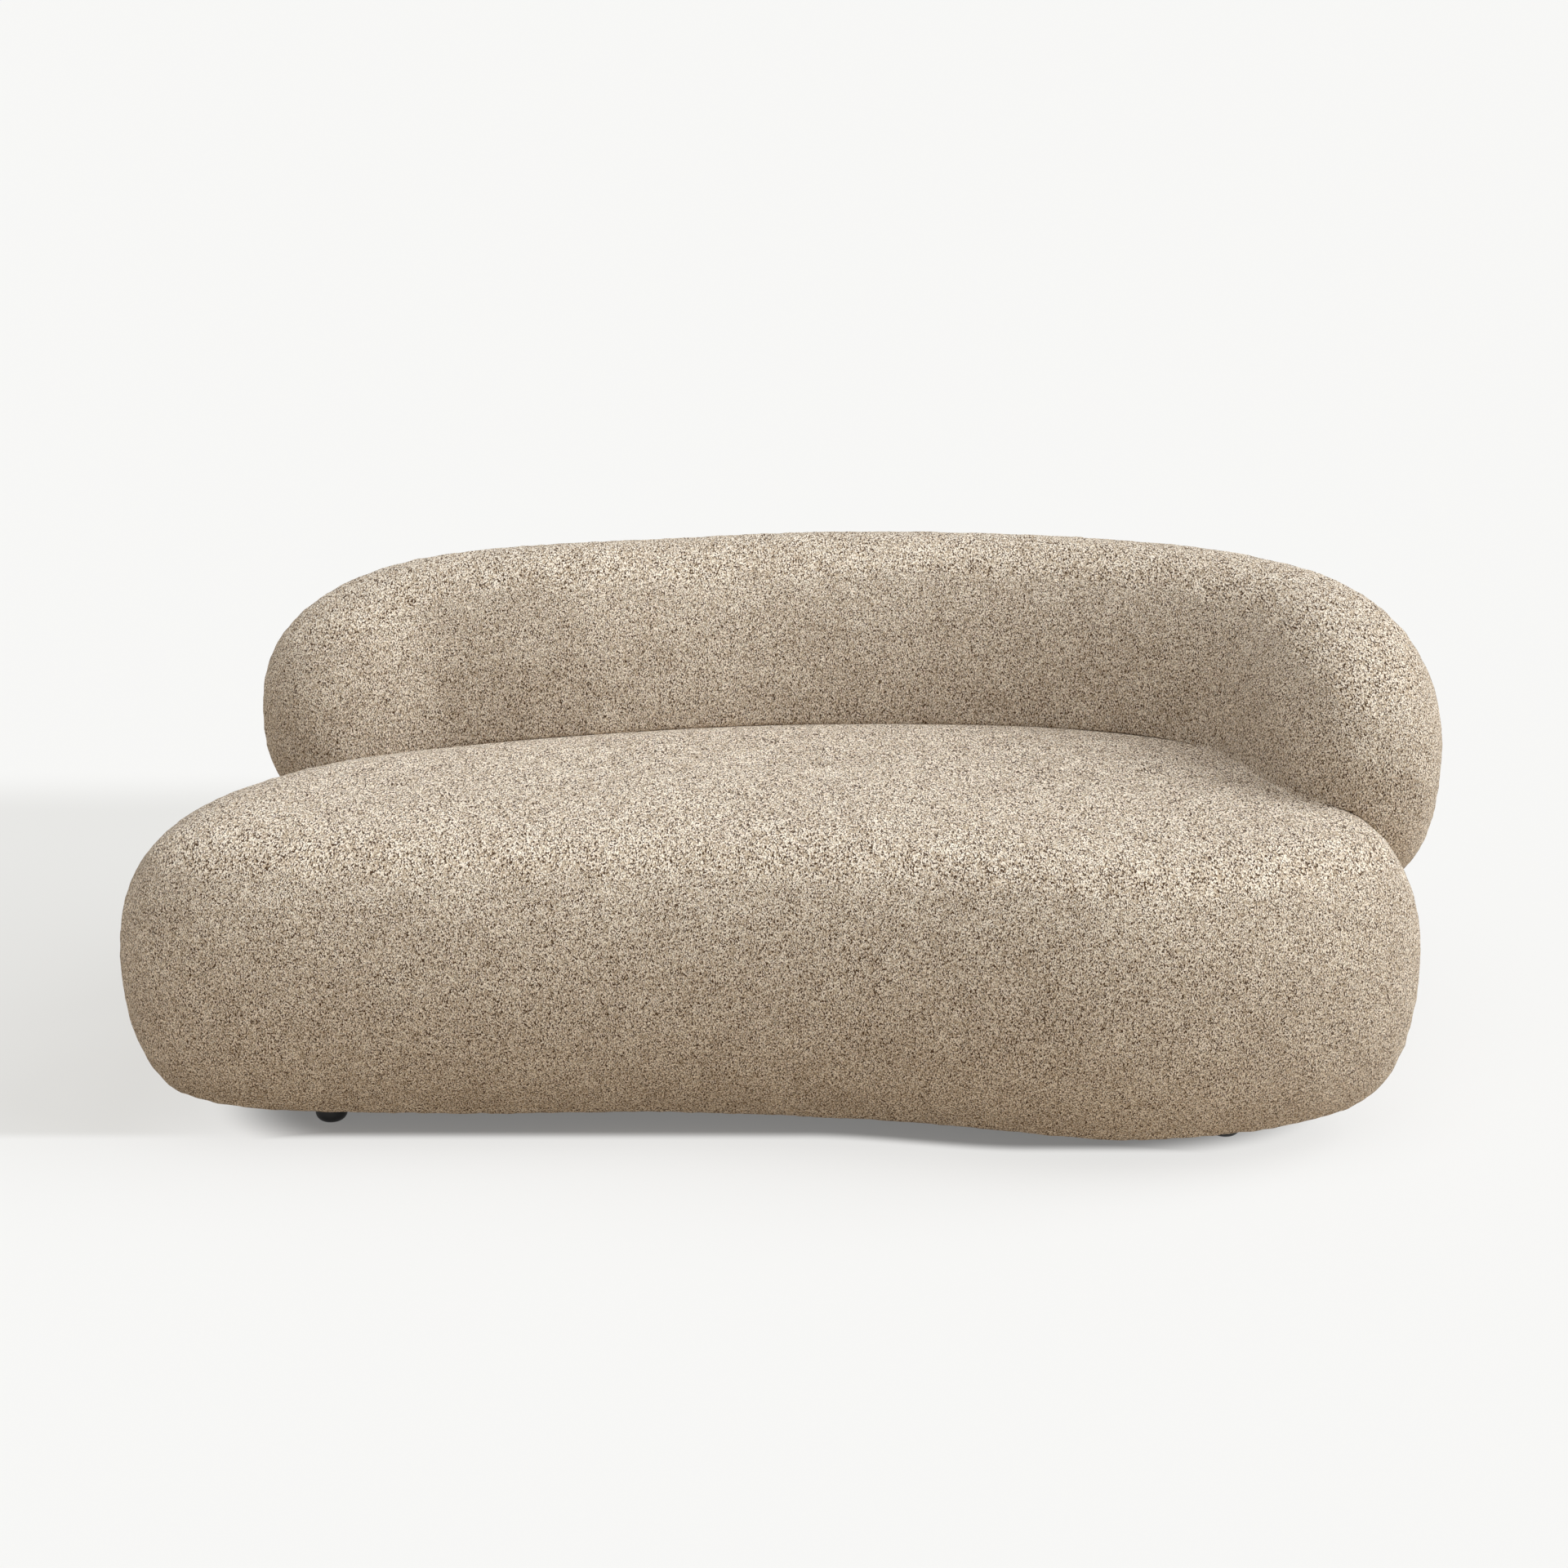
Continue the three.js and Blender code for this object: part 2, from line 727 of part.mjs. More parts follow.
function footGeometry() {
  const radius = footDiameter / 2;
  const profile = [new THREE.Vector2(0, 0)];
  for (let i = 0; i <= footRoundingSteps; i += 1) {
    const turn = Math.PI / 2 * i / footRoundingSteps;
    profile.push(new THREE.Vector2(
      radius - footTaper - footBottomRounding * (1 - Math.sin(turn)),
      footBottomRounding * (1 - Math.cos(turn)),
    ));
  }
  profile.push(new THREE.Vector2(radius, footHeight));
  profile.push(new THREE.Vector2(studHoleRadius, footHeight));
  profile.push(new THREE.Vector2(studHoleRadius, footHeight - studSocketDepth));
  profile.push(new THREE.Vector2(0, footHeight - studSocketDepth));
  return new THREE.LatheGeometry(profile, roundSteps).rotateX(Math.PI / 2);
}

function nutGeometry() {
  const barrel = nutBarrelDiameter / 2;
  const flange = nutFlangeDiameter / 2;
  const profile = [
    [studHoleRadius, -nutBarrelLength],
    [barrel, -nutBarrelLength],
    [barrel, contactGap],
    [flange, contactGap],
    [flange, contactGap + nutFlangeThickness],
    [studHoleRadius, contactGap + nutFlangeThickness],
    [studHoleRadius, -nutBarrelLength],
  ];
  const points = profile.map(([radius, height]) => new THREE.Vector2(radius, height));
  return new THREE.LatheGeometry(points, roundSteps).rotateX(Math.PI / 2);
}

function makeFeet() {
  feet.forEach(({ x, y }, i) => {
    const foot = place(seatGroup, `foot_${i + 1}`, footGeometry(), materials.foot);
    foot.position.set(x, y, 0);
    const stud = round(studDiameter / 2, studTop - studBottom, 0, 0, studBottom);
    place(seatGroup, `foot_stud_${i + 1}`, stud, materials.steel).position.set(x, y, 0);
    const nut = place(seatGroup, `foot_nut_${i + 1}`, nutGeometry(), materials.steel);
    nut.position.set(x, y, baseBoardTop);
  });
}

// Backrest frame

// The backrest's frame is sawn to stay inside the foam and clear of the seat.
function backFramePiece(solid, seatClearance = seatClearanceOfFrame) {
  const room = backLayer(foamInset + frameFoamCover);
  return clearOfSeat(solid.intersect(room), seatClearance);
}

const lowerRailBottom = deckHeight - lowerRailHeight;
const upperRailBottom = upperRailTopHeight - boardThickness;

function railSection(front, rear, low, high) {
  return [[front, low], [rear, low], [rear, high], [front, high]];
}

function makeBackRails() {
  const lowerSection = railSection(lowerRailFront, lowerRailRear, lowerRailBottom, deckHeight);
  const lowerRail = backFramePiece(solidOf(backSweep(lowerSection, backFrameEndRun)));
  place(backGroup, 'back_lower_rail', geometryOf(cut(lowerRail, ...screwHoles)), materials.wood);
  const upperSection = railSection(
    upperRailFront, upperRailRear, upperRailBottom, upperRailTopHeight);
  const upperRail = backFramePiece(solidOf(backSweep(upperSection, backFrameEndRun)));
  place(backGroup, 'back_upper_rail', geometryOf(upperRail), materials.wood);
}

// Each face board follows the rails' edges on its side, between two distances from them.
function faceBoardSection(lowerFace, upperFace, first, second) {
  const corners = [
    [lowerFace, lowerRailBottom],
    [lowerFace, deckHeight],
    [upperFace, upperRailBottom],
    [upperFace, upperRailTopHeight],
  ];
  const upwards = corners.map(([offset, height]) => [offset + first, height]);
  const downwards = corners.map(([offset, height]) => [offset + second, height]).reverse();
  return [...upwards, ...downwards];
}

function makeBackBoards() {
  const inner = contactGap;
  const outer = contactGap + backBoardThickness;
  const frontSection = faceBoardSection(lowerRailFront, upperRailFront, outer, inner);
  const frontForm = solidOf(backSweep(frontSection, backFrameEndRun));
  const front = cut(backFramePiece(frontForm, seatClearanceOfFrame - outer), ...plateSlots);
  place(backGroup, 'back_front_board', geometryOf(front), materials.wood);
  const rearSection = faceBoardSection(lowerRailRear, upperRailRear, -inner, -outer);
  const rear = backFramePiece(solidOf(backSweep(rearSection, backFrameEndRun)));
  place(backGroup, 'back_rear_board', geometryOf(rear), materials.wood);
}

// Everything between the two face boards, with its faces this far outside the rails'.
function backFrameForm(outside, low, high) {
  return solidOf(backSweep([
    [lowerRailFront + outside, low],
    [lowerRailFront + outside, deckHeight],
    [upperRailFront + outside, upperRailBottom],
    [upperRailFront + outside, high],
    [upperRailRear - outside, high],
    [upperRailRear - outside, upperRailBottom],
    [lowerRailRear - outside, deckHeight],
    [lowerRailRear - outside, low],
  ], backFrameEndRun - (outside > 0 ? contactGap : 0)));
}

// The posts are sawn to the line of the two boards.
function makeBackPosts() {
  const low = deckHeight + contactGap;
  const height = upperRailBottom - contactGap - low;
  const depth = lowerRailFront - lowerRailRear;
  const middle = (lowerRailFront + lowerRailRear) / 2;
  const run = backLength - 2 * backFrameEndRun;
  const form = backFrameForm(0, lowerRailBottom, upperRailTopHeight);
  backPostShares.forEach((share, i) => {
    const station = backStation(backFrameEndRun + run * share);
    const centre = backPoint(station, middle, low + height / 2);
    const block = solidOf(orientedBox(depth, backPostWidth, height, centre, station.out));
    const post = backFramePiece(block.intersect(form));
    place(backGroup, `back_post_${i + 1}`, geometryOf(post), materials.wood);
  });
}

// Backrest upholstery

// The cover, the wadding and the foam each keep their own distance from the seat.
function makeBackUpholstery() {
  const coverClear = contactGap;
  const coverForm = clearOfSeat(backLayer(0), coverClear);
  const insideCover = clearOfSeat(backLayer(coverThickness), coverClear + coverThickness);
  const cover = cut(coverForm, insideCover, ...jointRoom);
  place(backGroup, 'back_cover', geometryOf(cover), materials.cover);

  const waddingInset = coverThickness + contactGap;
  const waddingClear = coverClear + coverThickness + contactGap;
  const waddingForm = clearOfSeat(backLayer(waddingInset), waddingClear);
  const insideWadding = clearOfSeat(
    backLayer(waddingInset + waddingThickness), waddingClear + pressedWaddingThickness);
  const wadding = cut(waddingForm, insideWadding, cover, ...jointRoom);
  place(backGroup, 'back_wadding', geometryOf(wadding), materials.wadding);

  const foamClear = waddingClear + pressedWaddingThickness + contactGap;
  const foamForm = clearOfSeat(backLayer(foamInset), foamClear);
  const hollow = backFrameForm(
    contactGap + backBoardThickness + contactGap,
    lowerRailBottom - contactGap,
    upperRailTopHeight + contactGap,
  ).intersect(backLayer(foamInset + frameFoamCover - contactGap));
  const foam = cut(foamForm, wadding, hollow, ...jointRoom);
  place(backGroup, 'back_foam', geometryOf(foam), materials.foam);
}

// Joining plates and their screws

function makePlates() {
  plates.forEach((plate, i) => {
    const bar = solidOf(orientedBox(
      plate.length, plateWidth, plateThickness, plate.centre, plate.station.out));
    const drilled = cut(bar, ...plate.screws.map(screwHole));
    place(backGroup, `joining_plate_${i + 1}`, geometryOf(drilled), materials.steel);
    ['rail', 'ring'].forEach((end, j) => {
      const screw = place(
        backGroup,
        `plate_screw_${end}_${i + 1}`,
        screwGeometry(),
        materials.steel,
      );
      screw.position.set(plate.screws[j].x, plate.screws[j].y, deckHeight);
    });
  });
}

function screwGeometry() {
  const headBottom = contactGap + plateThickness + contactGap;
  const shankRadius = screwShankDiameter / 2;
  const shank = round(shankRadius, screwGrip + headBottom + screwHeadHeight / 2, 0, 0, -screwGrip);
  const head = round(screwHeadDiameter / 2, screwHeadHeight, 0, 0, headBottom, hexSides);
  return geometryOf(solidOf(shank).add(solidOf(head)));
}

makeBaseBoard();
makeDeckRing();
makeSideBoard();
makeSeatPosts();
makeCrossRails();
makeStraps();
makeSeatUpholstery();
makeDustCover();
makeFeet();
makeBackRails();
makeBackBoards();
makeBackPosts();
makeBackUpholstery();
makePlates();

// The origin goes to the middle of the footprint; the feet already stand on z = 0.
const footprint = new THREE.Box3().setFromObject(sofa);
const middle = footprint.getCenter(new THREE.Vector3());
sofa.position.set(-middle.x, -middle.y, 0);
sofa.updateMatrixWorld(true);

export default sofa;
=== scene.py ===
# %% [markdown]
# # A curved bouclé sofa
# The sofa has two soft bodies. A fat, pebble-shaped seat stands on short round feet, and a
# long rounded backrest lies over its rear rim and wraps forward at the right-hand end.
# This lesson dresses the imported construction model: both bodies are worked out as smooth
# surfaces, covered in a looped bouclé, and set on a pale floor in soft studio light.

import json
import math

import bpy
import numpy as np
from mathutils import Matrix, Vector


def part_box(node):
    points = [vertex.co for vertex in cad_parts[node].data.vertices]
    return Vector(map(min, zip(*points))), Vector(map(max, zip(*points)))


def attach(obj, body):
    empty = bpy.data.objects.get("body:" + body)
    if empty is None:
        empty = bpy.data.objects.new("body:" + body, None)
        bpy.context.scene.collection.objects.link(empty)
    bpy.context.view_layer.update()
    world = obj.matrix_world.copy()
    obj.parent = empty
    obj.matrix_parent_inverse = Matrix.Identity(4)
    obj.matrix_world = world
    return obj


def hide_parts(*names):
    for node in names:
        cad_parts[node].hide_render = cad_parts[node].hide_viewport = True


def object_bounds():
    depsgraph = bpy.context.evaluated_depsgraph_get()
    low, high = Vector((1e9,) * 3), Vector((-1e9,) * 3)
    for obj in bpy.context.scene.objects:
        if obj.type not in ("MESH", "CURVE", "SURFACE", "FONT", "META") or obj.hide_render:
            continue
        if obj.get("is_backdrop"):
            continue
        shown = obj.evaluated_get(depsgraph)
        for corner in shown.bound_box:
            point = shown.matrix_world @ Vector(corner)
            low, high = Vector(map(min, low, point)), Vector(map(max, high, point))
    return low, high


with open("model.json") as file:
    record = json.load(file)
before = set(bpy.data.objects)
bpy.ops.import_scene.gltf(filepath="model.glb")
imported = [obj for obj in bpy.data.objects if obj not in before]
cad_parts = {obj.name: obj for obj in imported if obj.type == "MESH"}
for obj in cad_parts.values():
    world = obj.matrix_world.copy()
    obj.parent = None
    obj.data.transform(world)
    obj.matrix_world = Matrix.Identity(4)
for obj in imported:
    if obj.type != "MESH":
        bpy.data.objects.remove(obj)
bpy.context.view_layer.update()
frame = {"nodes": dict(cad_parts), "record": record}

# %% [markdown]
# ## Sizes
# All sizes are in metres. Both bodies are described as a designer would sketch them: the
# seat by its outline seen from above and the rounding of its rim, the backrest by the line
# that it follows and the size of its section.

# %% Sizes of the two bodies
SEAT_HALF_WIDTH = 0.900
SEAT_HALF_DEPTH = 0.480
SEAT_UNDERSIDE = 0.045
SEAT_WIDEST = 0.242
SEAT_RIM = 0.4485
SEAT_CROWN = 0.0135
SEAT_LOWER_ROUNDING = 0.097
SEAT_TOP_ROUNDING = 0.150
SEAT_LOWER_EXPONENT = 1.71
SEAT_END_FULLNESS = 0.42
SEAT_TOP_EXPONENT = 2.24
CROWN_EXPONENT = 1.5
OUTLINE_SOFTNESS_SHARE = 0.0045

BACK_HALF_THICKNESS = 0.1435
BACK_HALF_HEIGHT = 0.2505
BACK_MIDDLE = 0.459
BACK_SECTION_EXPONENT = 2.49
BACK_END_EXPONENT = 2.54
BACK_LEAN_SHARE = 0.06
BACK_LEFT_THICKNESS_RUN = 0.279
BACK_RIGHT_THICKNESS_RUN = 0.348
BACK_HEIGHT_RUN = 0.600
BACK_SOFTNESS_SHARE = 0.011

# Place across, place in depth and rounding of the rim, in shares of the sizes above,
# anticlockwise from the right-hand end.
SEAT_OUTLINE_SHARES = np.array([
    [0.951, 0.165, 0.727],
    [0.793, 0.663, 0.673],
    [0.520, 0.952, 0.840],
    [0.173, 1.090, 1.253],
    [-0.178, 1.088, 1.547],
    [-0.528, 0.948, 1.640],
    [-0.824, 0.671, 1.487],
    [-1.002, 0.227, 1.240],
    [-1.039, -0.292, 1.050],
    [-0.876, -0.560, 0.955],
    [-0.529, -0.625, 0.880],
    [-0.162, -0.617, 0.833],
    [0.180, -0.688, 0.800],
    [0.518, -0.813, 0.807],
    [0.826, -0.692, 0.807],
    [0.999, -0.375, 0.793],
])
BACK_PATH_SHARES = np.array([
    [-0.857, 0.635],
    [-0.649, 0.948],
    [-0.354, 0.990],
    [0.080, 1.144],
    [0.533, 1.0625],
    [0.860, 0.664],
    [0.963, -0.110],
])

# Distance between neighbouring points of the sketched bodies, and of the even grid of squares
# that is laid over them and subdivided once
FORM_STEP = 0.008
EVEN_STEP = 0.0145

# How finely the formulas' curves are worked out before even steps are taken along them
OUTLINE_COUNT = 4000
PATH_COUNT = 6000
SECTION_COUNT = 2000
QUARTER_COUNT = 600
UNDERSIDE_RINGS = 12
CROWN_STEP_SHARE = 1.3

# %% [markdown]
# ## Tools for surfaces
# A surface here is a grid of points: rows along one parameter, columns along another. Two
# small tools are enough for both bodies. One draws a smooth curve through a few points, and
# the other joins a grid into a closed mesh whose first and last rows are single poles.

# %% Curves and grids
def catmull_rom(points, count, closed):
    """On each span a cubic runs through both ends. Its slope at a point is half the step
    from the point before to the point after."""
    spans = len(points) if closed else len(points) - 1
    if closed:
        run_on = np.vstack([points[-1:], points, points[:2]])
        place = np.arange(count) / count * spans
    else:
        run_on = np.vstack([2 * points[0] - points[1], points, 2 * points[-1] - points[-2]])
        place = np.linspace(0, spans, count)
    span = np.minimum(place.astype(int), spans - 1)
    t = (place - span)[:, None]
    before, start, end, after = (run_on[span + k] for k in range(4))
    return 0.5 * (
        2 * start
        + (end - before) * t
        + (2 * before - 5 * start + 4 * end - after) * t**2
        + (3 * start - before - 3 * end + after) * t**3
    )


def run_along(points, closed=False):
    """Length of the line from its first point to each point."""
    if closed:
        points = np.vstack([points, points[:1]])
    steps = np.linalg.norm(np.diff(points, axis=0), axis=1)
    return np.concatenate([[0], np.cumsum(steps)])


def evenly(values, run, count, closed=False):
    """The values at evenly spaced runs, by straight lines between the given ones."""
    at = np.linspace(0, run[-1], count, endpoint=not closed)
    if closed:
        values = np.concatenate([values, values[:1]])
    return np.stack([np.interp(at, run, column) for column in np.atleast_2d(values.T)], axis=-1)


def mesh_from_rings(name, rings):
    """Rings of equal length between two poles: the first and last rings are given as one
    point each. Neighbouring rings are joined by quads, and the poles by triangles."""
    first, body, last = rings[0], np.stack(rings[1:-1]), rings[-1]
    rows, around = body.shape[:2]
    points = np.vstack([body.reshape(-1, 3), first[None], last[None]])
    index = np.arange(rows * around).reshape(rows, around)
    beside = np.roll(index, -1, axis=1)
    quads = np.stack([index[:-1], beside[:-1], beside[1:], index[1:]], axis=-1).reshape(-1, 4)
    low = np.stack([np.full(around, rows * around), beside[0], index[0]], axis=-1)
    high = np.stack([np.full(around, rows * around + 1), index[-1], beside[-1]], axis=-1)
    mesh = bpy.data.meshes.new(name)
    mesh.vertices.add(len(points))
    mesh.vertices.foreach_set("co", points.astype(np.float32).ravel())
    corners = np.concatenate([quads.ravel(), low.ravel(), high.ravel()])
    sizes = np.concatenate([np.full(len(quads), 4), np.full(2 * around, 3)])
    mesh.loops.add(len(corners))
    mesh.loops.foreach_set("vertex_index", corners.astype(np.int32))
    mesh.polygons.add(len(sizes))
    starts = np.concatenate([[0], np.cumsum(sizes)[:-1]])
    mesh.polygons.foreach_set("loop_start", starts.astype(np.int32))
    mesh.update(calc_edges=True)
    mesh.validate()
    mesh.shade_smooth()
    piece = bpy.data.objects.new(name, mesh)
    bpy.context.collection.objects.link(piece)
    return piece


# %% [markdown]
# ## The seat
# Seen from above, the seat is a closed curve with a shallow dip in its front. Its rim is a
# quarter of a superellipse below the widest line and another above it, and the upper one is
# rounder at the rear left than at the front. Over the whole outline rises a very low crown.
# A subdivision cage could make a shape like this, but a formula keeps the dip, the
# rounding and the crown apart, so each can be set by itself.

# %% The seat's outline and rim
def soften(curve, share):
    """Blends an evenly stepped closed curve with its neighbourhood, under a bell whose width
    is this share of the whole length. In waves round the curve, the short ones are damped."""
    waves = np.arange(len(curve) // 2 + 1)
    kept = np.exp(-2 * (math.pi * share * waves) ** 2)[:, None]
    return np.fft.irfft(np.fft.rfft(curve, axis=0) * kept, len(curve), axis=0)


def soften_line(line, share):
    """The same for an open line, which first runs on past both ends, turned over there."""
    run_on = np.concatenate([2 * line[0] - line[:0:-1], line, 2 * line[-1] - line[-2::-1]])
    return soften(run_on, share * len(line) / len(run_on))[len(line) - 1:2 * len(line) - 1]


outline_curve = catmull_rom(
    SEAT_OUTLINE_SHARES * [SEAT_HALF_WIDTH, SEAT_HALF_DEPTH, SEAT_TOP_ROUNDING],
    OUTLINE_COUNT, True)
outline_curve = evenly(
    outline_curve, run_along(outline_curve[:, :2], closed=True), OUTLINE_COUNT, True)
outline_curve = soften(outline_curve, OUTLINE_SOFTNESS_SHARE)


def seat_outline(count):
    """Places, outward directions and rim roundings at even steps round the outline."""
    run = run_along(outline_curve[:, :2], closed=True)
    line = evenly(outline_curve, run, count, closed=True)
    along = np.roll(line, -1, axis=0)[:, :2] - np.roll(line, 1, axis=0)[:, :2]
    along /= np.linalg.norm(along, axis=1, keepdims=True)
    return line[:, :2], np.stack([along[:, 1], -along[:, 0]], axis=1), line[:, 2]


def quarter_turns(exponent, radius, height, step):
    """Turns that give even steps along a superellipse quarter, from its widest point."""
    turn = np.linspace(0, math.pi / 2, QUARTER_COUNT)
    across, up = np.cos(turn) ** (2 / exponent), np.sin(turn) ** (2 / exponent)
    run = run_along(np.stack([radius * across, height * up], axis=1))
    return evenly(turn, run, int(run[-1] / step) + 1)[:, 0]


def lower_exponent(place):
    """The lower rounding is fuller towards the two ends than along the front and rear."""
    share = np.clip(np.abs(place[:, 0]) / SEAT_HALF_WIDTH, 0, 1)
    return SEAT_LOWER_EXPONENT + SEAT_END_FULLNESS * share**4


def crown_rise(places, reach):
    """Extra height: 0 over the outline, most over the middle, along a soft bell."""
    share = np.hypot(places[:, 0], places[:, 1]) / reach
    return SEAT_CROWN * np.clip(1 - share**2, 0, 1) ** CROWN_EXPONENT


def seat_rings(step):
    """Rings from the middle of the underside, out and up round the rim, to the crown."""
    length = run_along(outline_curve[:, :2], closed=True)[-1]
    place, outward, rounding = seat_outline(int(length / step))
    reach = np.hypot(place[:, 0], place[:, 1])
    low_exponent = lower_exponent(place)
    lower_height = SEAT_WIDEST - SEAT_UNDERSIDE
    upper_height = SEAT_RIM - SEAT_WIDEST
    lower = quarter_turns(SEAT_LOWER_EXPONENT, SEAT_LOWER_ROUNDING, lower_height, step)
    upper = quarter_turns(SEAT_TOP_EXPONENT, SEAT_TOP_ROUNDING, upper_height, step)

    def inwards(distance):
        return place - outward * distance[:, None]

    rings = []
    for turn in lower[:0:-1]:
        inset = SEAT_LOWER_ROUNDING * (1 - math.cos(turn) ** (2 / low_exponent))
        drop = lower_height * math.sin(turn) ** (2 / low_exponent)
        rings.append(np.column_stack([inwards(inset), SEAT_WIDEST - drop]))
    for turn in upper:
        there = inwards(rounding * (1 - math.cos(turn) ** (2 / SEAT_TOP_EXPONENT)))
        up = math.sin(turn) ** (2 / SEAT_TOP_EXPONENT)
        rise = up * (upper_height + crown_rise(there, reach))
        rings.append(np.column_stack([there, SEAT_WIDEST + rise]))
    flat, rim = rings[0], rings[-1][:, :2]
    under = [flat * [share, share, 1]
             for share in np.linspace(0, 1, UNDERSIDE_RINGS + 2)[1:-1]]
    crown = []
    for share in np.linspace(1, 0, int(SEAT_HALF_DEPTH / (CROWN_STEP_SHARE * step)))[1:-1]:
        crown.append(np.column_stack([rim * share, SEAT_RIM + crown_rise(rim * share, reach)]))
    return [np.array([0, 0, SEAT_UNDERSIDE])] + under + rings + crown + [
        np.array([0, 0, SEAT_RIM + SEAT_CROWN])]


def box_of(rings):
    points = np.vstack([np.atleast_2d(ring) for ring in rings])
    return points.min(axis=0), points.max(axis=0)


# The formula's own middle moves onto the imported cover's middle.
seat_grid = seat_rings(FORM_STEP)
own_low, own_high = box_of(seat_grid)
cover_low, cover_high = (np.array(corner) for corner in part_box("seat_cover"))
TO_ROW = np.append(((cover_low + cover_high - own_low - own_high) / 2)[:2], 0)
seat_grid = [ring + TO_ROW for ring in seat_grid]
print("seat, metres:", (own_high - own_low).round(3), "moved by", TO_ROW.round(4))

# %% [markdown]
# ## The backrest
# The backrest is one section carried along a line. The section is a superellipse, taller
# than it is thick, that leans a little away from the sitter. Towards each end it shrinks
# along another superellipse, so both ends close into a fat rounded nose.

# %% The backrest's surface
def end_share(run, length, left_run, right_run):
    """1 along the middle, and down to 0 at each end along a superellipse quarter."""
    def rounded(distance):
        short = 1 - np.clip(distance, 0, 1)
        return (1 - short**BACK_END_EXPONENT) ** (1 / BACK_END_EXPONENT)
    return rounded(run / left_run) * rounded((length - run) / right_run)


def signed_power(values, exponent):
    return np.sign(values) * np.abs(values) ** exponent


def back_rings(step):
    """Sections from the left-hand end to the right-hand end. They lie closer together where
    the section shrinks, so that the faces of the ends stay square."""
    path = catmull_rom(
        BACK_PATH_SHARES * [SEAT_HALF_WIDTH, SEAT_HALF_DEPTH], PATH_COUNT, False)
    path = soften_line(evenly(path, run_along(path), len(path)), BACK_SOFTNESS_SHARE)
    run = run_along(path)
    length = run[-1]
    thick = BACK_HALF_THICKNESS * end_share(
        run, length, BACK_LEFT_THICKNESS_RUN, BACK_RIGHT_THICKNESS_RUN)
    tall = BACK_HALF_HEIGHT * end_share(run, length, BACK_HEIGHT_RUN, BACK_HEIGHT_RUN)
    along = np.gradient(path, axis=0)
    along /= np.linalg.norm(along, axis=1, keepdims=True)
    towards = np.stack([along[:, 1], -along[:, 0]], axis=1)
    skin_run = run_along(np.stack([run, tall, thick], axis=1))
    table = np.column_stack([path, towards, thick, tall])
    table = evenly(table, skin_run, int(skin_run[-1] / step) + 1)

    turn = np.linspace(0, 2 * math.pi, SECTION_COUNT, endpoint=False)
    section = np.stack([
        signed_power(np.cos(turn), 2 / BACK_SECTION_EXPONENT),
        signed_power(np.sin(turn), 2 / BACK_SECTION_EXPONENT),
    ], axis=1)
    section_run = run_along(section * [BACK_HALF_THICKNESS, BACK_HALF_HEIGHT], closed=True)
    across, up = evenly(section, section_run, int(section_run[-1] / step), closed=True).T

    def ring(row):
        offset = row[4] * across - BACK_LEAN_SHARE * row[5] * up
        return np.column_stack([
            row[0] + row[2] * offset,
            row[1] + row[3] * offset,
            BACK_MIDDLE + row[5] * up,
        ])

    ends = [np.append(table[i, :2], BACK_MIDDLE) for i in (0, -1)]
    return [ends[0]] + [ring(row) for row in table[1:-1]] + [ends[1]]


back_grid = [ring + TO_ROW for ring in back_rings(FORM_STEP)]
print("backrest, sections and points round:", len(back_grid), len(back_grid[1]))

# %% [markdown]
# ## Pressing the backrest onto the seat
# The backrest's lower front would run through the seat's rear rim. On the real sofa both
# are soft and the backrest gives way, so every point that lies in the seat is pushed out to
# its skin, with no gap between. The push fades in over a very short way, which leaves a
# narrow crease. The backrest itself is pressed last, after it has been filled out. Here the
# pressed rings only say where it will rest.

# %% Distance from the seat
NEAR_STATIONS = 900
PRESS_SOFTNESS = 0.0010
# Further out than this many softnesses, a point isn't pushed at all
PRESS_REACH = 12
# Points looked at together, to spare memory
CHUNK = 2000
near_place, near_outward, near_rounding = seat_outline(NEAR_STATIONS)
near_reach = np.hypot(near_place[:, 0], near_place[:, 1])
near_exponent = lower_exponent(near_place)
near_place = near_place + TO_ROW[:2]


def nearest_station(points):
    """Index of the outline's nearest place for each point, seen from above."""
    found = [
        ((points[i:i + CHUNK, None, :2] - near_place[None]) ** 2).sum(axis=2).argmin(axis=1)
        for i in range(0, len(points), CHUNK)
    ]
    return np.concatenate(found)


def rim_frame(points):
    """Each point in the plane that cuts the rim beside it: its distance inwards from the
    centre of the rim's rounding, its height over the widest line, and the rounding's two
    radii and exponent."""
    station = nearest_station(points)
    inset = ((near_place[station] - points[:, :2]) * near_outward[station]).sum(axis=1)
    rise = points[:, 2] - SEAT_WIDEST
    upper = rise >= 0
    radius = np.where(upper, near_rounding[station], SEAT_LOWER_ROUNDING)
    crown = crown_rise(points[:, :2] - TO_ROW[:2], near_reach[station])
    height = np.where(upper, SEAT_RIM - SEAT_WIDEST + crown, SEAT_WIDEST - SEAT_UNDERSIDE)
    exponent = np.where(upper, SEAT_TOP_EXPONENT, near_exponent[station])
    out = np.maximum(radius - inset, 0)
    return station, out, rise, radius, height, exponent


def distance_from_seat(points):
    """Roughly the distance outside the seat's skin, negative inside: the length of the way
    from the rounding's centre, less the part of it that lies in the seat."""
    station, out, rise, radius, height, exponent = rim_frame(points)
    share = ((out / radius) ** exponent + np.abs(rise / height) ** exponent) ** (1 / exponent)
    reach = np.hypot(out, rise)
    return station, out, rise, reach, reach * (1 - 1 / np.maximum(share, 1e-6))


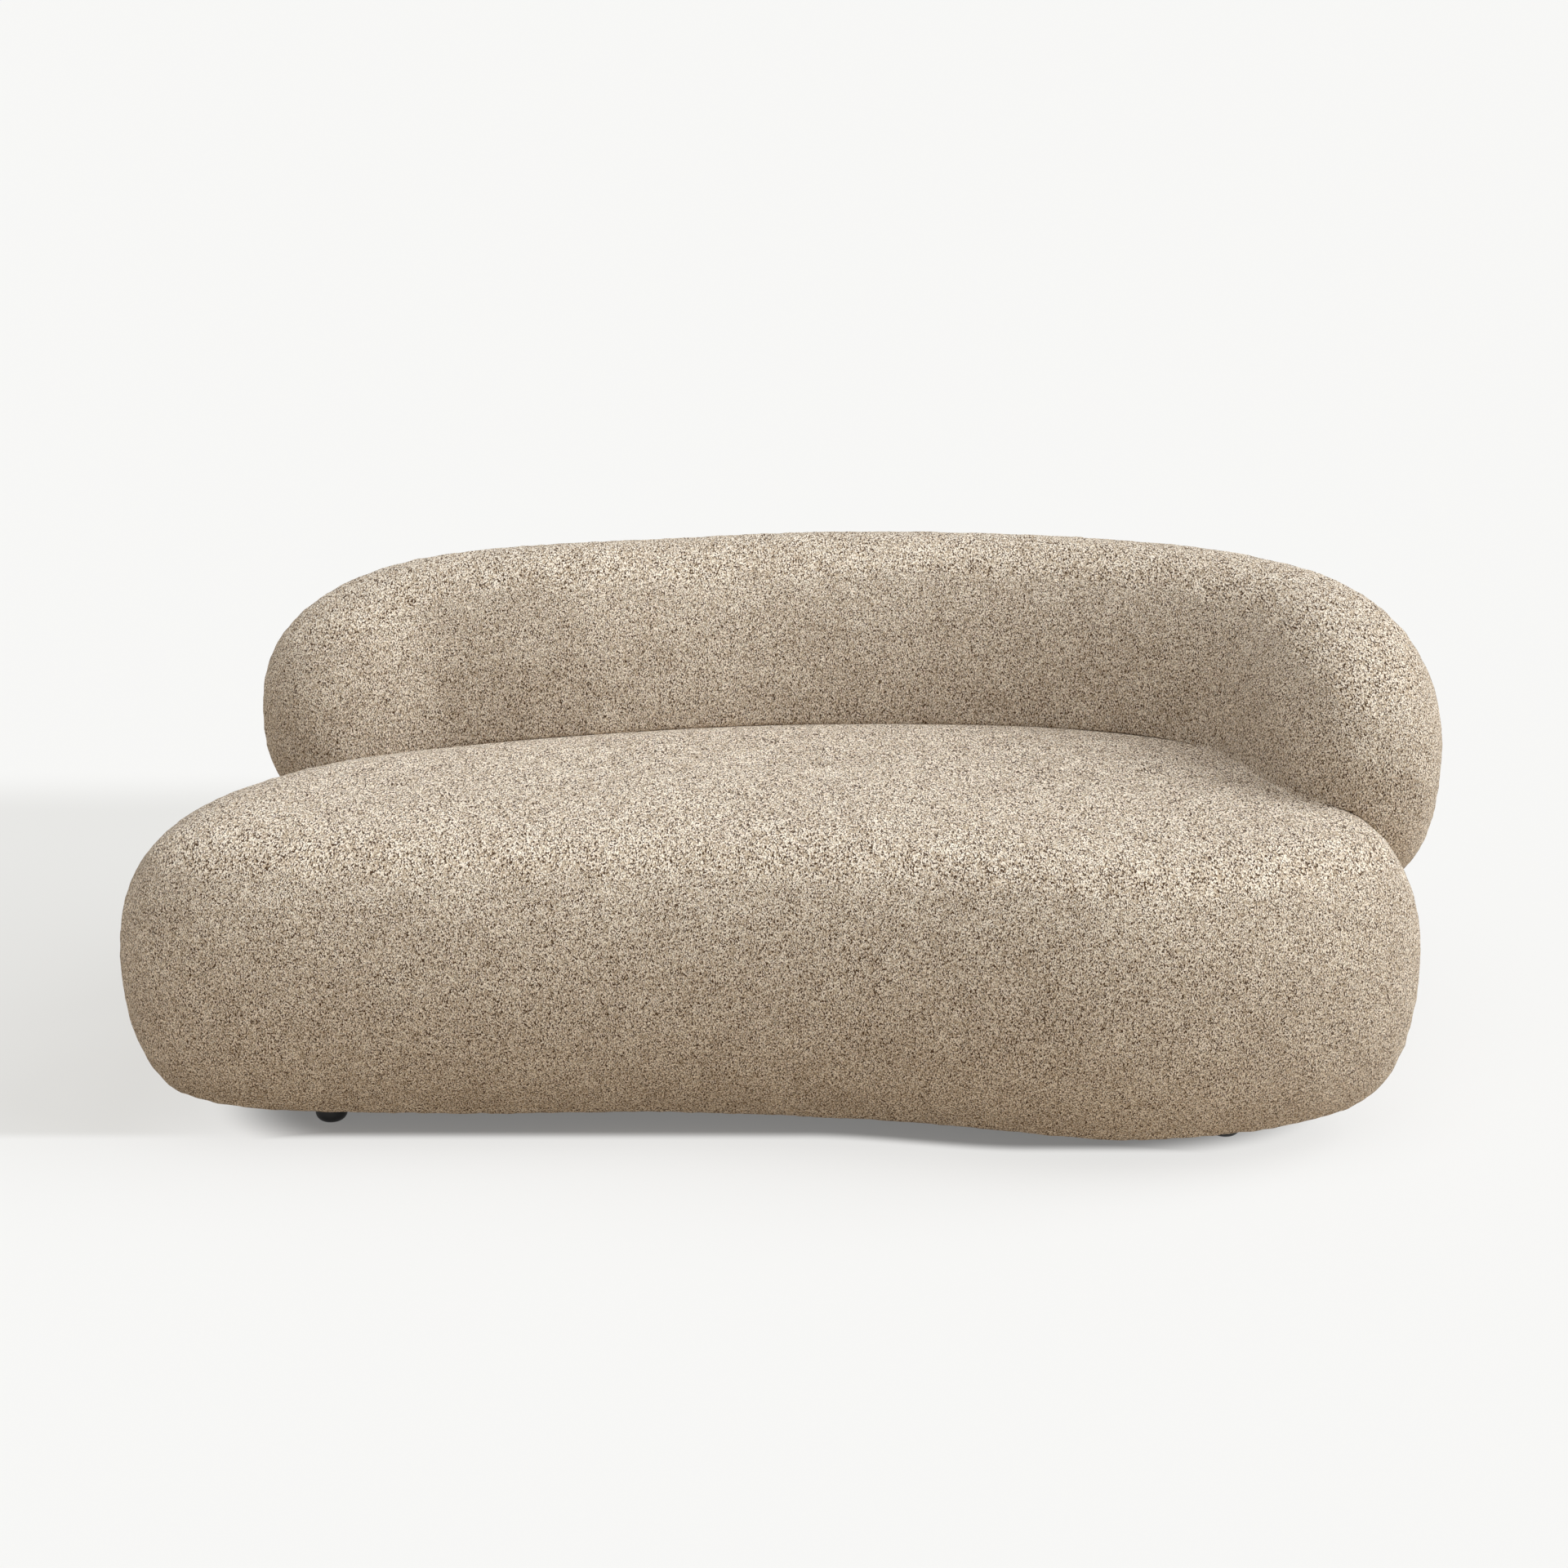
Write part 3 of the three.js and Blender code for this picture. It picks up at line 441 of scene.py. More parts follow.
def press_off_seat(points):
    """Points in the seat move away from the rounding's centre, out to the skin. Further out,
    the push dies away as a soft corner. Below the widest line that way is downwards, so the
    few points that lie deep in the seat there end on its rear underside."""
    station, out, rise, reach, distance = distance_from_seat(points)
    over = distance / PRESS_SOFTNESS
    wanted = PRESS_SOFTNESS * np.logaddexp(0, over)
    push = (wanted - distance) / np.maximum(reach, 1e-6)
    push[over > PRESS_REACH] = 0
    pushed = points.copy()
    pushed[:, :2] += near_outward[station] * (out * push)[:, None]
    pushed[:, 2] += rise * push
    return pushed


def each_ring(rings, change):
    """Applies a change of points to all rings at once, keeping their lengths."""
    lengths = [len(np.atleast_2d(ring)) for ring in rings]
    points = change(np.vstack([np.atleast_2d(ring) for ring in rings]))
    parts = np.split(points, np.cumsum(lengths)[:-1])
    return [part[0] if len(part) == 1 else part for part in parts]


resting_grid = each_ring(back_grid, press_off_seat)

# %% [markdown]
# ## Bouclé relief
# Bouclé is woven from a yarn with small loops, about two millimetres across. They belong in
# the material. The points themselves carry only the larger unevenness: a slow swell of the
# filling, and clusters of loops that make the outline slightly uneven. Both are value noise,
# which blends random numbers at the corners of a cubic lattice.

# %% Noise and relief
def corner_value(cell, seed):
    """A fixed random number from -1 to 1 for each lattice corner."""
    mixed = (cell[:, 0] * 73856093) ^ (cell[:, 1] * 19349663) ^ (cell[:, 2] * 83492791)
    mixed = (mixed + seed * 668265263) & 0xFFFFFFFF
    mixed = ((mixed ^ (mixed >> 15)) * 2246822519) & 0xFFFFFFFF
    mixed = ((mixed ^ (mixed >> 13)) * 3266489917) & 0xFFFFFFFF
    return ((mixed ^ (mixed >> 16)) & 0xFFFFFF) / 0x800000 - 1


def value_noise(points, size, seed):
    """Smoothly blended lattice values for a lattice of this size, from -1 to 1."""
    scaled = points / size
    cell = np.floor(scaled).astype(np.int64)
    part = scaled - cell
    blend = part * part * (3 - 2 * part)
    total = np.zeros(len(points))
    for corner in np.ndindex(2, 2, 2):
        weight = np.prod(np.where(corner, blend, 1 - blend), axis=1)
        total += weight * corner_value(cell + corner, seed)
    return total


# Size, height and seed of each layer of relief
RELIEF_LAYERS = (
    (0.16, 0.0012, 3),
    (0.014, 0.0011, 7),
    (0.007, 0.00055, 11),
)
# What is pressed or held down: the backrest within a distance of the seat, the seat's
# underside, and the seat beside the backrest. Each fades out over its own length.
HELD_WITHIN = 0.0085
HELD_FADE = 0.0045
UNDERSIDE_FADE = 0.005
BESIDE_BACK = 0.018
BESIDE_BACK_FADE = 0.030
# One in this many of the backrest's pressed points is enough to find the nearest
SPREAD_EVERY = 4


def points_of(piece, layer="co"):
    values = np.empty(len(piece.data.vertices) * 3, np.float32)
    piece.data.vertices.foreach_get(layer, values)
    return values.reshape(-1, 3).astype(float)


def place_points(piece, points):
    piece.data.vertices.foreach_set("co", points.astype(np.float32).ravel())
    piece.data.update()


def raise_relief(piece, still):
    """Moves points along their normals by the layers of relief. Points where still is 1 keep
    their place."""
    points = points_of(piece)
    height = np.zeros(len(points))
    for size, most, seed in RELIEF_LAYERS:
        height += most * value_noise(points, size, seed)
    free = height * (1 - still(points))
    place_points(piece, points + points_of(piece, "normal") * free[:, None])
    print(piece.name, "points", len(points), "relief mm", (height * 1000).std().round(2))


def pressed_share(points):
    """1 where the backrest lies on the seat, and 0 a little further out."""
    distance = distance_from_seat(points)[4]
    return np.clip((HELD_WITHIN - distance) / HELD_FADE, 0, 1)


def distance_from_backrest(points):
    """Distance from each point to the nearest of some points spread over the backrest."""
    spread = np.vstack([ring[::SPREAD_EVERY] for ring in resting_grid[1:-1:SPREAD_EVERY]])
    nearest = [
        np.sqrt(((points[i:i + CHUNK, None] - spread[None]) ** 2).sum(axis=2).min(axis=1))
        for i in range(0, len(points), CHUNK)
    ]
    return np.concatenate(nearest)


def held_seat_share(points):
    """1 on the seat's underside, where the dust cover lies against it, and beside and under
    the backrest. It fades out round both."""
    under = 1 - (points[:, 2] - SEAT_UNDERSIDE) / UNDERSIDE_FADE
    beside = 1 - (distance_from_backrest(points) - BESIDE_BACK) / BESIDE_BACK_FADE
    return np.clip(np.maximum(under, beside), 0, 1)


# %% [markdown]
# ## Filling out the covers
# The filling presses the covers outwards, while staples and weight hold them in some places.
# A short cloth simulation does the same: each body lies on an even grid of squares, air
# pressure swells it, and soft springs, which stand for the foam behind the cover, keep each
# point near its place. Pressed and stapled points are held fast. No point sinks into the
# filling, and none swells further than a cap, so the body keeps the photographed outline.

# %% Cloth simulation
START_INSET = 0.0005
SWELL_CAP = 0.006
CLOTH_PRESSURE = 4.0
CLOTH_FRAMES = 20
# How firmly the foam's springs keep a point, where 1 is held fast
FOAM_HOLD = 0.2
# Points that are held by more than this share are held fast
HELD_ENOUGH = 0.3


def settle(piece):
    """Replaces the piece's mesh by what its modifiers make of it, and removes them."""
    graph = bpy.context.evaluated_depsgraph_get()
    mesh = bpy.data.meshes.new_from_object(piece.evaluated_get(graph))
    piece.modifiers.clear()
    piece.data = mesh
    mesh.shade_smooth()


def even_squares(piece):
    even = piece.modifiers.new("even_squares", "REMESH")
    even.mode = "VOXEL"
    even.voxel_size = EVEN_STEP
    settle(piece)


def add_cover_cloth(piece):
    cloth = piece.modifiers.new("cover", "CLOTH")
    settings = cloth.settings
    settings.use_pressure = True
    settings.uniform_pressure_force = CLOTH_PRESSURE
    settings.vertex_group_mass = "held"
    settings.effector_weights.gravity = 0
    cloth.point_cache.frame_start = 1
    cloth.point_cache.frame_end = CLOTH_FRAMES


def fill_out(piece, held):
    """Swells the piece by cloth simulation. Points where held is near 1 stay in place."""
    share, outward = held(points_of(piece)), points_of(piece, "normal")
    start = points_of(piece) - START_INSET * outward * (1 - share)[:, None]
    place_points(piece, start)
    group = piece.vertex_groups.new(name="held")
    group.add(list(range(len(start))), FOAM_HOLD, "REPLACE")
    group.add(np.nonzero(share > HELD_ENOUGH)[0].tolist(), 1.0, "REPLACE")
    add_cover_cloth(piece)
    for number in range(1, CLOTH_FRAMES + 1):
        bpy.context.scene.frame_set(number)
    settle(piece)
    bpy.context.scene.frame_set(1)
    swell = ((points_of(piece) - start) * outward).sum(axis=1)
    capped = SWELL_CAP * np.tanh(np.maximum(swell, 0) / SWELL_CAP)
    place_points(piece, start + outward * capped[:, None])
    print(piece.name, "swelled mm, least, middle and most:",
          np.percentile(swell * 1000, [0, 50, 100]).round(2))


def upholstered(name, grid, still):
    """A body from its rings: even squares, filled out, subdivided once, with its relief."""
    piece = mesh_from_rings(name, grid)
    even_squares(piece)
    fill_out(piece, still)
    finer = piece.modifiers.new("finer", "SUBSURF")
    finer.levels = finer.render_levels = 1
    settle(piece)
    raise_relief(piece, still)
    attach(piece, "root")
    return piece


seat_upholstery = upholstered("seat_upholstery", seat_grid, held_seat_share)
back_upholstery = upholstered("back_upholstery", back_grid, pressed_share)
place_points(back_upholstery, press_off_seat(points_of(back_upholstery)))
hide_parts("seat_cover")
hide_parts("back_cover")

# %% [markdown]
# ## Feet
# The feet are short black buns, screwed into the base board: straight-sided at the top and
# rounded in towards the floor. Only two show, low under the front edge. A turned piece is a
# profile carried round a circle, so each foot is a few rings round its own axis.

# %% Feet
FOOT_ROUNDING = 0.013
FOOT_TAPER = 0.002
FOOT_EDGE = 0.0012
FOOT_COUNT = 5
FOOT_AROUND = 96
FOOT_ROUNDING_STEPS = 14
FOOT_EDGE_STEPS = 5
# The inner ring of each flat end, as a share of its radius
FOOT_INNER_SHARE = 0.5


def foot_rings(low, high):
    """Rings up the foot: a flat bottom, a quarter round, a side that widens slightly, a
    small eased edge and a flat top."""
    centre = (low + high) / 2
    radius = (high - low)[0] / 2
    height = high[2] - low[2]
    turn = np.linspace(0, math.pi / 2, FOOT_ROUNDING_STEPS)
    corner = radius - FOOT_TAPER - FOOT_ROUNDING
    profile = [(FOOT_INNER_SHARE * corner, 0)]
    profile += list(zip(corner + FOOT_ROUNDING * np.sin(turn),
                        FOOT_ROUNDING * (1 - np.cos(turn))))
    profile += [(radius - FOOT_EDGE * (1 - math.cos(t)), height - FOOT_EDGE * (1 - math.sin(t)))
                for t in np.linspace(0, math.pi / 2, FOOT_EDGE_STEPS)]
    profile += [(FOOT_INNER_SHARE * radius, height)]
    circle = np.linspace(0, 2 * math.pi, FOOT_AROUND, endpoint=False)
    rings = [np.column_stack([centre[0] + r * np.cos(circle), centre[1] + r * np.sin(circle),
                              np.full(FOOT_AROUND, low[2] + z)]) for r, z in profile]
    return [np.array([centre[0], centre[1], low[2]])] + rings + [
        np.array([centre[0], centre[1], high[2]])]


feet = []
for number in range(1, FOOT_COUNT + 1):
    node = f"foot_{number}"
    low, high = (np.array(corner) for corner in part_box(node))
    foot = mesh_from_rings(f"turned_foot_{number}", foot_rings(low, high))
    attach(foot, "root")
    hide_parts(node)
    feet.append(foot)
print("feet:", len(feet))

# %% [markdown]
# ## Materials
# Every material reads Object coordinates, so its pattern has a real size and stays put on
# the piece. One node group makes the field of yarn loops, and another makes the plain
# unevenness that wood, foam, cloth and metal share with different values.

# %% Node tools
def new_material(name, roughness=0.9):
    material = bpy.data.materials.new(name)
    material.use_nodes = True
    tree = material.node_tree
    shader = tree.nodes["Principled BSDF"]
    shader.inputs["Roughness"].default_value = roughness
    place = tree.nodes.new("ShaderNodeTexCoord")
    return material, tree, shader, place.outputs["Object"]


def new_group(name, inputs, outputs):
    group = bpy.data.node_groups.new(name, "ShaderNodeTree")
    for label, kind, default in inputs:
        socket = group.interface.new_socket(label, in_out="INPUT", socket_type=kind)
        if default is not None:
            socket.default_value = default
    for label, kind in outputs:
        group.interface.new_socket(label, in_out="OUTPUT", socket_type=kind)
    given = group.nodes.new("NodeGroupInput").outputs
    return group, given, group.nodes.new("NodeGroupOutput").inputs


def math_node(tree, operation, *values):
    node = tree.nodes.new("ShaderNodeMath")
    node.operation = operation
    for socket, value in zip(node.inputs, values):
        plug(tree, value, socket)
    return node.outputs[0]


def vector_node(tree, operation, *values):
    node = tree.nodes.new("ShaderNodeVectorMath")
    node.operation = operation
    for socket, value in zip(node.inputs, values):
        plug(tree, value, socket)
    return node.outputs["Vector"]


def plug(tree, value, socket):
    """Links a socket, or sets a plain value."""
    if isinstance(value, bpy.types.NodeSocket):
        tree.links.new(value, socket)
    else:
        socket.default_value = value


def noise_node(tree, vector, scale, detail, roughness=0.5):
    node = tree.nodes.new("ShaderNodeTexNoise")
    plug(tree, vector, node.inputs["Vector"])
    plug(tree, scale, node.inputs["Scale"])
    plug(tree, detail, node.inputs["Detail"])
    plug(tree, roughness, node.inputs["Roughness"])
    return node


def mix_colours(tree, share, first, second, blend="MIX"):
    node = tree.nodes.new("ShaderNodeMix")
    node.data_type = "RGBA"
    node.blend_type = blend
    plug(tree, share, node.inputs["Factor"])
    plug(tree, first, node.inputs["A"])
    plug(tree, second, node.inputs["B"])
    return node.outputs["Result"]


def ease(tree, value, low, high):
    """0 below low, 1 above high, and a smooth step between."""
    node = tree.nodes.new("ShaderNodeMapRange")
    node.interpolation_type = "SMOOTHSTEP"
    plug(tree, value, node.inputs["Value"])
    plug(tree, low, node.inputs["From Min"])
    plug(tree, high, node.inputs["From Max"])
    return node.outputs["Result"]


def bump(tree, shader, height, strength, distance):
    node = tree.nodes.new("ShaderNodeBump")
    node.inputs["Strength"].default_value = strength
    node.inputs["Distance"].default_value = distance
    tree.links.new(height, node.inputs["Height"])
    tree.links.new(node.outputs["Normal"], shader.inputs["Normal"])


# %% [markdown]
# ### Bouclé
# Seen close, bouclé is a crowd of small curled loops of pale yarn with dark gaps between
# them. Each cell of a Voronoi texture is one loop, bent by noise so that no two are alike.
# The loops differ in tone at random, as painted light and shade: some are painted as catching
# the light and others as tucked in.
# The gaps are lower, and their colour is a painted shade, much darker, for the little light that
# comes back out of them.

# %% Bouclé material
LOOP_SIZE = 0.0014
CURL = 0.3
# How far noise bends the loops, in loop sizes for each unit of curl
CURL_REACH = 4.0
# On upright faces the loops stand taller than they are wide, and on level ones they lie
# back. Shares of the loop size along the three directions, as one over the length.
UPRIGHT_STRETCH = (1, 0.7, 0.62)
LEVEL_STRETCH = (0.78, 0.31, 0.62)
LEVEL_FROM = 0.55
LEVEL_TO = 0.75
RAGGED_SCALE = 60.0
# Where along its height a loop starts and is full, and which random tones are dark and light
YARN_FROM = 0.50
YARN_TO = 0.78
TONE_FROM = 0.2
TONE_TO = 0.8
# Painted shade: the gaps' colour stands for the light lost between the loops.
GAP_SHADE_COLOUR = (0.085, 0.043, 0.020, 1)
# Each loop takes a random tone between these two colours: the yarn's own colour, with painted
# light on some loops and painted shade on others.
SHADED_LOOP_COLOUR = (0.600, 0.470, 0.335, 1)
LIT_LOOP_COLOUR = (0.985, 0.872, 0.738, 1)
SHEEN_TINT = (1, 0.985, 0.96, 1)
# Slightly darker patches at random in the pile, some six centimetres wide
PATCH_TINT = (0.90, 0.885, 0.87, 1)
PATCH_SCALE = 16.0
PATCH_FROM = 0.3
PATCH_TO = 0.7
LOOP_RELIEF = 0.0012


def level_share(tree):
    """1 where the surface lies level and 0 where it is upright, with a soft step between."""
    facing = tree.nodes.new("ShaderNodeNewGeometry").outputs["Normal"]
    parts = tree.nodes.new("ShaderNodeSeparateXYZ")
    tree.links.new(facing, parts.inputs[0])
    return ease(tree, math_node(tree, "ABSOLUTE", parts.outputs["Z"]), LEVEL_FROM, LEVEL_TO)


def make_loop_field():
    """Group: loops of yarn. Puts out the yarn's share, 0 in the gaps and 1 on the loops, the
    tone, 0 for loops painted shaded and 1 for loops painted lit, and the height of the surface."""
    group, given, out = new_group(
        "yarn_loops",
        [("Vector", "NodeSocketVector", None), ("Level", "NodeSocketFloat", 0.0),
         ("Loop Size", "NodeSocketFloat", LOOP_SIZE), ("Curl", "NodeSocketFloat", CURL)],
        [("Yarn", "NodeSocketFloat"), ("Tone", "NodeSocketFloat"),
         ("Height", "NodeSocketFloat")],
    )
    per_metre = math_node(group, "DIVIDE", 1.0, given["Loop Size"])
    ragged = noise_node(group, given["Vector"], RAGGED_SCALE, detail=1.0).outputs["Fac"]
    level = math_node(group, "GREATER_THAN", given["Level"], ragged)
    upright = vector_node(group, "MULTIPLY", given["Vector"], UPRIGHT_STRETCH)
    lying = vector_node(group, "MULTIPLY", given["Vector"], LEVEL_STRETCH)
    choice = group.nodes.new("ShaderNodeMix")
    choice.data_type = "VECTOR"
    group.links.new(level, choice.inputs["Factor"])
    group.links.new(upright, choice.inputs[4])
    group.links.new(lying, choice.inputs[5])
    woven = choice.outputs[1]
    wander = noise_node(group, woven, per_metre, detail=0.0)
    centred = vector_node(group, "SUBTRACT", wander.outputs["Color"], (0.5, 0.5, 0.5))
    shift = vector_node(group, "SCALE", centred)
    reach = math_node(group, "MULTIPLY", given["Loop Size"], given["Curl"])
    bend = math_node(group, "MULTIPLY", reach, CURL_REACH)
    group.links.new(bend, shift.node.inputs["Scale"])
    bent = vector_node(group, "ADD", woven, shift)
    cells = group.nodes.new("ShaderNodeTexVoronoi")
    cells.feature = "F1"
    group.links.new(bent, cells.inputs["Vector"])
    group.links.new(per_metre, cells.inputs["Scale"])
    distance = cells.outputs["Distance"]
    nub = math_node(group, "SUBTRACT", 1.0, math_node(group, "MULTIPLY", distance, distance))
    own = group.nodes.new("ShaderNodeSeparateXYZ")
    group.links.new(cells.outputs["Color"], own.inputs[0])
    group.links.new(ease(group, nub, YARN_FROM, YARN_TO), out["Yarn"])
    group.links.new(ease(group, own.outputs["X"], TONE_FROM, TONE_TO), out["Tone"])
    group.links.new(nub, out["Height"])
    return group


def make_boucle():
    material, tree, shader, place = new_material("boucle", roughness=0.95)
    loops = tree.nodes.new("ShaderNodeGroup")
    loops.node_tree = make_loop_field()
    tree.links.new(place, loops.inputs["Vector"])
    tree.links.new(level_share(tree), loops.inputs["Level"])
    # Painted light and shade: each loop's random tone lies between the shaded and the lit
    # colour.
    yarn = mix_colours(tree, loops.outputs["Tone"], SHADED_LOOP_COLOUR, LIT_LOOP_COLOUR)
    # The gaps get their painted shade here.
    yarn = mix_colours(tree, loops.outputs["Yarn"], GAP_SHADE_COLOUR, yarn)
    # Slightly darker patches in the pile, at random.
    patches = noise_node(tree, place, PATCH_SCALE, detail=3.0)
    darkened = mix_colours(tree, 1.0, yarn, PATCH_TINT, "MULTIPLY")
    plain_share = ease(tree, patches.outputs["Fac"], PATCH_FROM, PATCH_TO)
    yarn = mix_colours(tree, plain_share, darkened, yarn)
    tree.links.new(yarn, shader.inputs["Base Color"])
    shader.inputs["Specular IOR Level"].default_value = 0.08
    shader.inputs["Sheen Weight"].default_value = 0.1
    shader.inputs["Sheen Roughness"].default_value = 0.5
    shader.inputs["Sheen Tint"].default_value = SHEEN_TINT
    bump(tree, shader, loops.outputs["Height"], 1.0, LOOP_RELIEF)
    return material


boucle = make_boucle()
for piece in (seat_upholstery, back_upholstery):
    piece.data.materials.append(boucle)

# %% [markdown]
# ### Everything else
# The other materials are plain ones with a grain. Wood stretches its noise along one direction,
# foam has small round pores, webbing's noise is stretched a little along one direction, cloth
# has a fine even noise, and steel and the feet's plastic have only a faint unevenness.

# %% Plain grained materials
def make_grain():
    """Group: noise, stretched by a scale for each direction, that mixes two colours and
    gives a height."""
    group, given, out = new_group(
        "grain",
        [("Vector", "NodeSocketVector", None), ("Stretch", "NodeSocketVector", (1, 1, 1)),
         ("Scale", "NodeSocketFloat", 100.0), ("Contrast", "NodeSocketFloat", 0.3),
         ("Dark", "NodeSocketColor", None), ("Light", "NodeSocketColor", None)],
        [("Color", "NodeSocketColor"), ("Height", "NodeSocketFloat")],
    )
    stretched = vector_node(group, "MULTIPLY", given["Vector"], given["Stretch"])
    noise = noise_node(group, stretched, given["Scale"], detail=4.0, roughness=0.6)
    low = math_node(group, "SUBTRACT", 0.5, given["Contrast"])
    high = math_node(group, "ADD", 0.5, given["Contrast"])
    share = ease(group, noise.outputs["Fac"], low, high)
    group.links.new(mix_colours(group, share, given["Dark"], given["Light"]), out["Color"])
    group.links.new(share, out["Height"])
    return group


grain = make_grain()


def make_grained(name, dark, light, scale, stretch=(1, 1, 1), contrast=0.3, roughness=0.8,
                 relief=0.0003, metallic=0.0):
    material, tree, shader, place = new_material(name, roughness)
    node = tree.nodes.new("ShaderNodeGroup")
    node.node_tree = grain
    tree.links.new(place, node.inputs["Vector"])
    node.inputs["Stretch"].default_value = stretch
    node.inputs["Scale"].default_value = scale
    node.inputs["Contrast"].default_value = contrast
    node.inputs["Dark"].default_value = (*dark, 1)
    node.inputs["Light"].default_value = (*light, 1)
    tree.links.new(node.outputs["Color"], shader.inputs["Base Color"])
    shader.inputs["Metallic"].default_value = metallic
    bump(tree, shader, node.outputs["Height"], 0.5, relief)
    return material


finishes = {
    "wadding": make_grained("wadding", (0.78, 0.77, 0.73), (0.9, 0.89, 0.86), 180.0),
    "foam": make_grained("foam", (0.7, 0.62, 0.42), (0.84, 0.77, 0.58), 700.0, relief=0.0005),
    "plywood": make_grained("plywood", (0.44, 0.28, 0.14), (0.66, 0.47, 0.27), 60.0,
                            stretch=(0.12, 1, 1), roughness=0.7),
    "thin_plywood": make_grained("thin_plywood", (0.5, 0.34, 0.18), (0.7, 0.52, 0.31), 70.0,
                                 stretch=(1, 1, 0.12), roughness=0.7),
    "solid_wood": make_grained("solid_wood", (0.5, 0.33, 0.17), (0.72, 0.53, 0.31), 80.0,
                               stretch=(1, 1, 0.08), roughness=0.65),
    "webbing": make_grained("webbing", (0.02, 0.02, 0.019), (0.07, 0.069, 0.066), 900.0,
                            stretch=(1, 0.4, 1), roughness=0.9),
    "dust_cloth": make_grained("dust_cloth", (0.008, 0.008, 0.009), (0.022, 0.022, 0.023), 500.0,
                               roughness=0.95, relief=0.0002),
    "foot_plastic": make_grained("foot_plastic", (0.006, 0.006, 0.006), (0.012, 0.012, 0.012),
                                 400.0, roughness=0.42, relief=0.00004),
    "steel": make_grained("steel", (0.42, 0.43, 0.44), (0.56, 0.57, 0.58), 120.0,
                          stretch=(1, 1, 8), roughness=0.38, relief=0.00003, metallic=1.0),
}
for entry in frame["record"]["subparts"]:
    node = frame["nodes"][entry["node"]]
    finish = boucle if entry["material_slot"] == "boucle" else finishes[entry["material_slot"]]
    node.data.materials.clear()
    node.data.materials.append(finish)
for foot in feet:
    foot.data.materials.append(finishes["foot_plastic"])
print("materials:", len(bpy.data.materials))

# %% [markdown]
# ## Floor and light
# The sofa stands on a wide, plain, nearly white floor that fills the picture up to its top
# edge. One broad, soft lamp high on the right does most of the work, so the top and the
# right-hand end are pale and the front is a tone darker. Two weaker lamps and a warm world
# fill the rest. The floor's own shades, under the sofa and at its left, are painted on it.

# %% Floor
FLOOR_HALF_SIZE = 70.0
BACKGROUND = (0.947, 0.939, 0.922, 1)
# The light that comes back from the floor is browner than the floor that is seen. It was
# set so that the lower front of the sofa matches the photograph.
FLOOR_COLOUR = (0.56, 0.475, 0.38, 1)
FLOOR_SEEN_COLOUR = (0.74, 0.733, 0.72, 1)
# How much of the seen floor glows by itself, so that it stays as pale as the background
OPEN_GLOW = 0.8
# Under the sofa less of the floor glows, so the lamps' own shadow shows darker there; the border
# of this shade is painted.
UNDER_GLOW = 0.2
# The border between the painted shade under the sofa and the pale floor round it
AROUND_SHARES = (0.55, 1.1)
AROUND_EXPONENT = 4.0
FRONT_EDGE = 0.350
EDGE_BLUR = 0.035
BULGE_PLACE = (0.02, 0.34)
BULGE_DEPTH = -0.045
# The faint painted shadow on the floor at the left
LEFT_SHADE_COLOUR = (0.790, 0.780, 0.755, 1)
LEFT_SHADE_PLACE = (-0.75, -1.0)
LEFT_SHADE_END = (1.45, 1.15)


def seen_share(tree):
    """1 for what the camera, mirrors and glass see, and 0 for light on its way."""
    path = tree.nodes.new("ShaderNodeLightPath").outputs
    seen = math_node(tree, "MAXIMUM", path["Is Camera Ray"], path["Is Glossy Ray"])
    return math_node(tree, "MAXIMUM", seen, path["Is Transmission Ray"])


def floor_masks(tree, place):
    """Two masks on the floor. The first is 0 under the sofa and 1 round it and in front of its
    front edge. The second is 1 in the broad, faint painted shadow beside the left-hand end."""
    low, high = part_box("dust_cover")
    middle, half = (low + high) / 2, (high - low) / 2
    parts = tree.nodes.new("ShaderNodeSeparateXYZ")
    tree.links.new(place, parts.inputs[0])
    across, deep = parts.outputs["X"], parts.outputs["Y"]
    sides = []
    for value, centre, reach in ((across, middle.x, half.x), (deep, middle.y, half.y)):
        share = math_node(tree, "DIVIDE", math_node(tree, "SUBTRACT", value, centre), reach)
        share = math_node(tree, "ABSOLUTE", share)
        sides.append(math_node(tree, "POWER", share, AROUND_EXPONENT))
    around = ease(tree, math_node(tree, "ADD", *sides), *AROUND_SHARES)
    bulge = math_node(tree, "MULTIPLY", ease(tree, across, *BULGE_PLACE), BULGE_DEPTH)
    past = math_node(tree, "SUBTRACT", bulge, math_node(tree, "ADD", deep, FRONT_EDGE))
    front = ease(tree, past, -EDGE_BLUR, 0.0)
    beside = math_node(tree, "MULTIPLY", ease(tree, across, *LEFT_SHADE_PLACE),
                       ease(tree, deep, *LEFT_SHADE_END))
    behind = math_node(tree, "SUBTRACT", 1.0, front)
    return math_node(tree, "MAXIMUM", around, front), math_node(tree, "MULTIPLY", beside, behind)


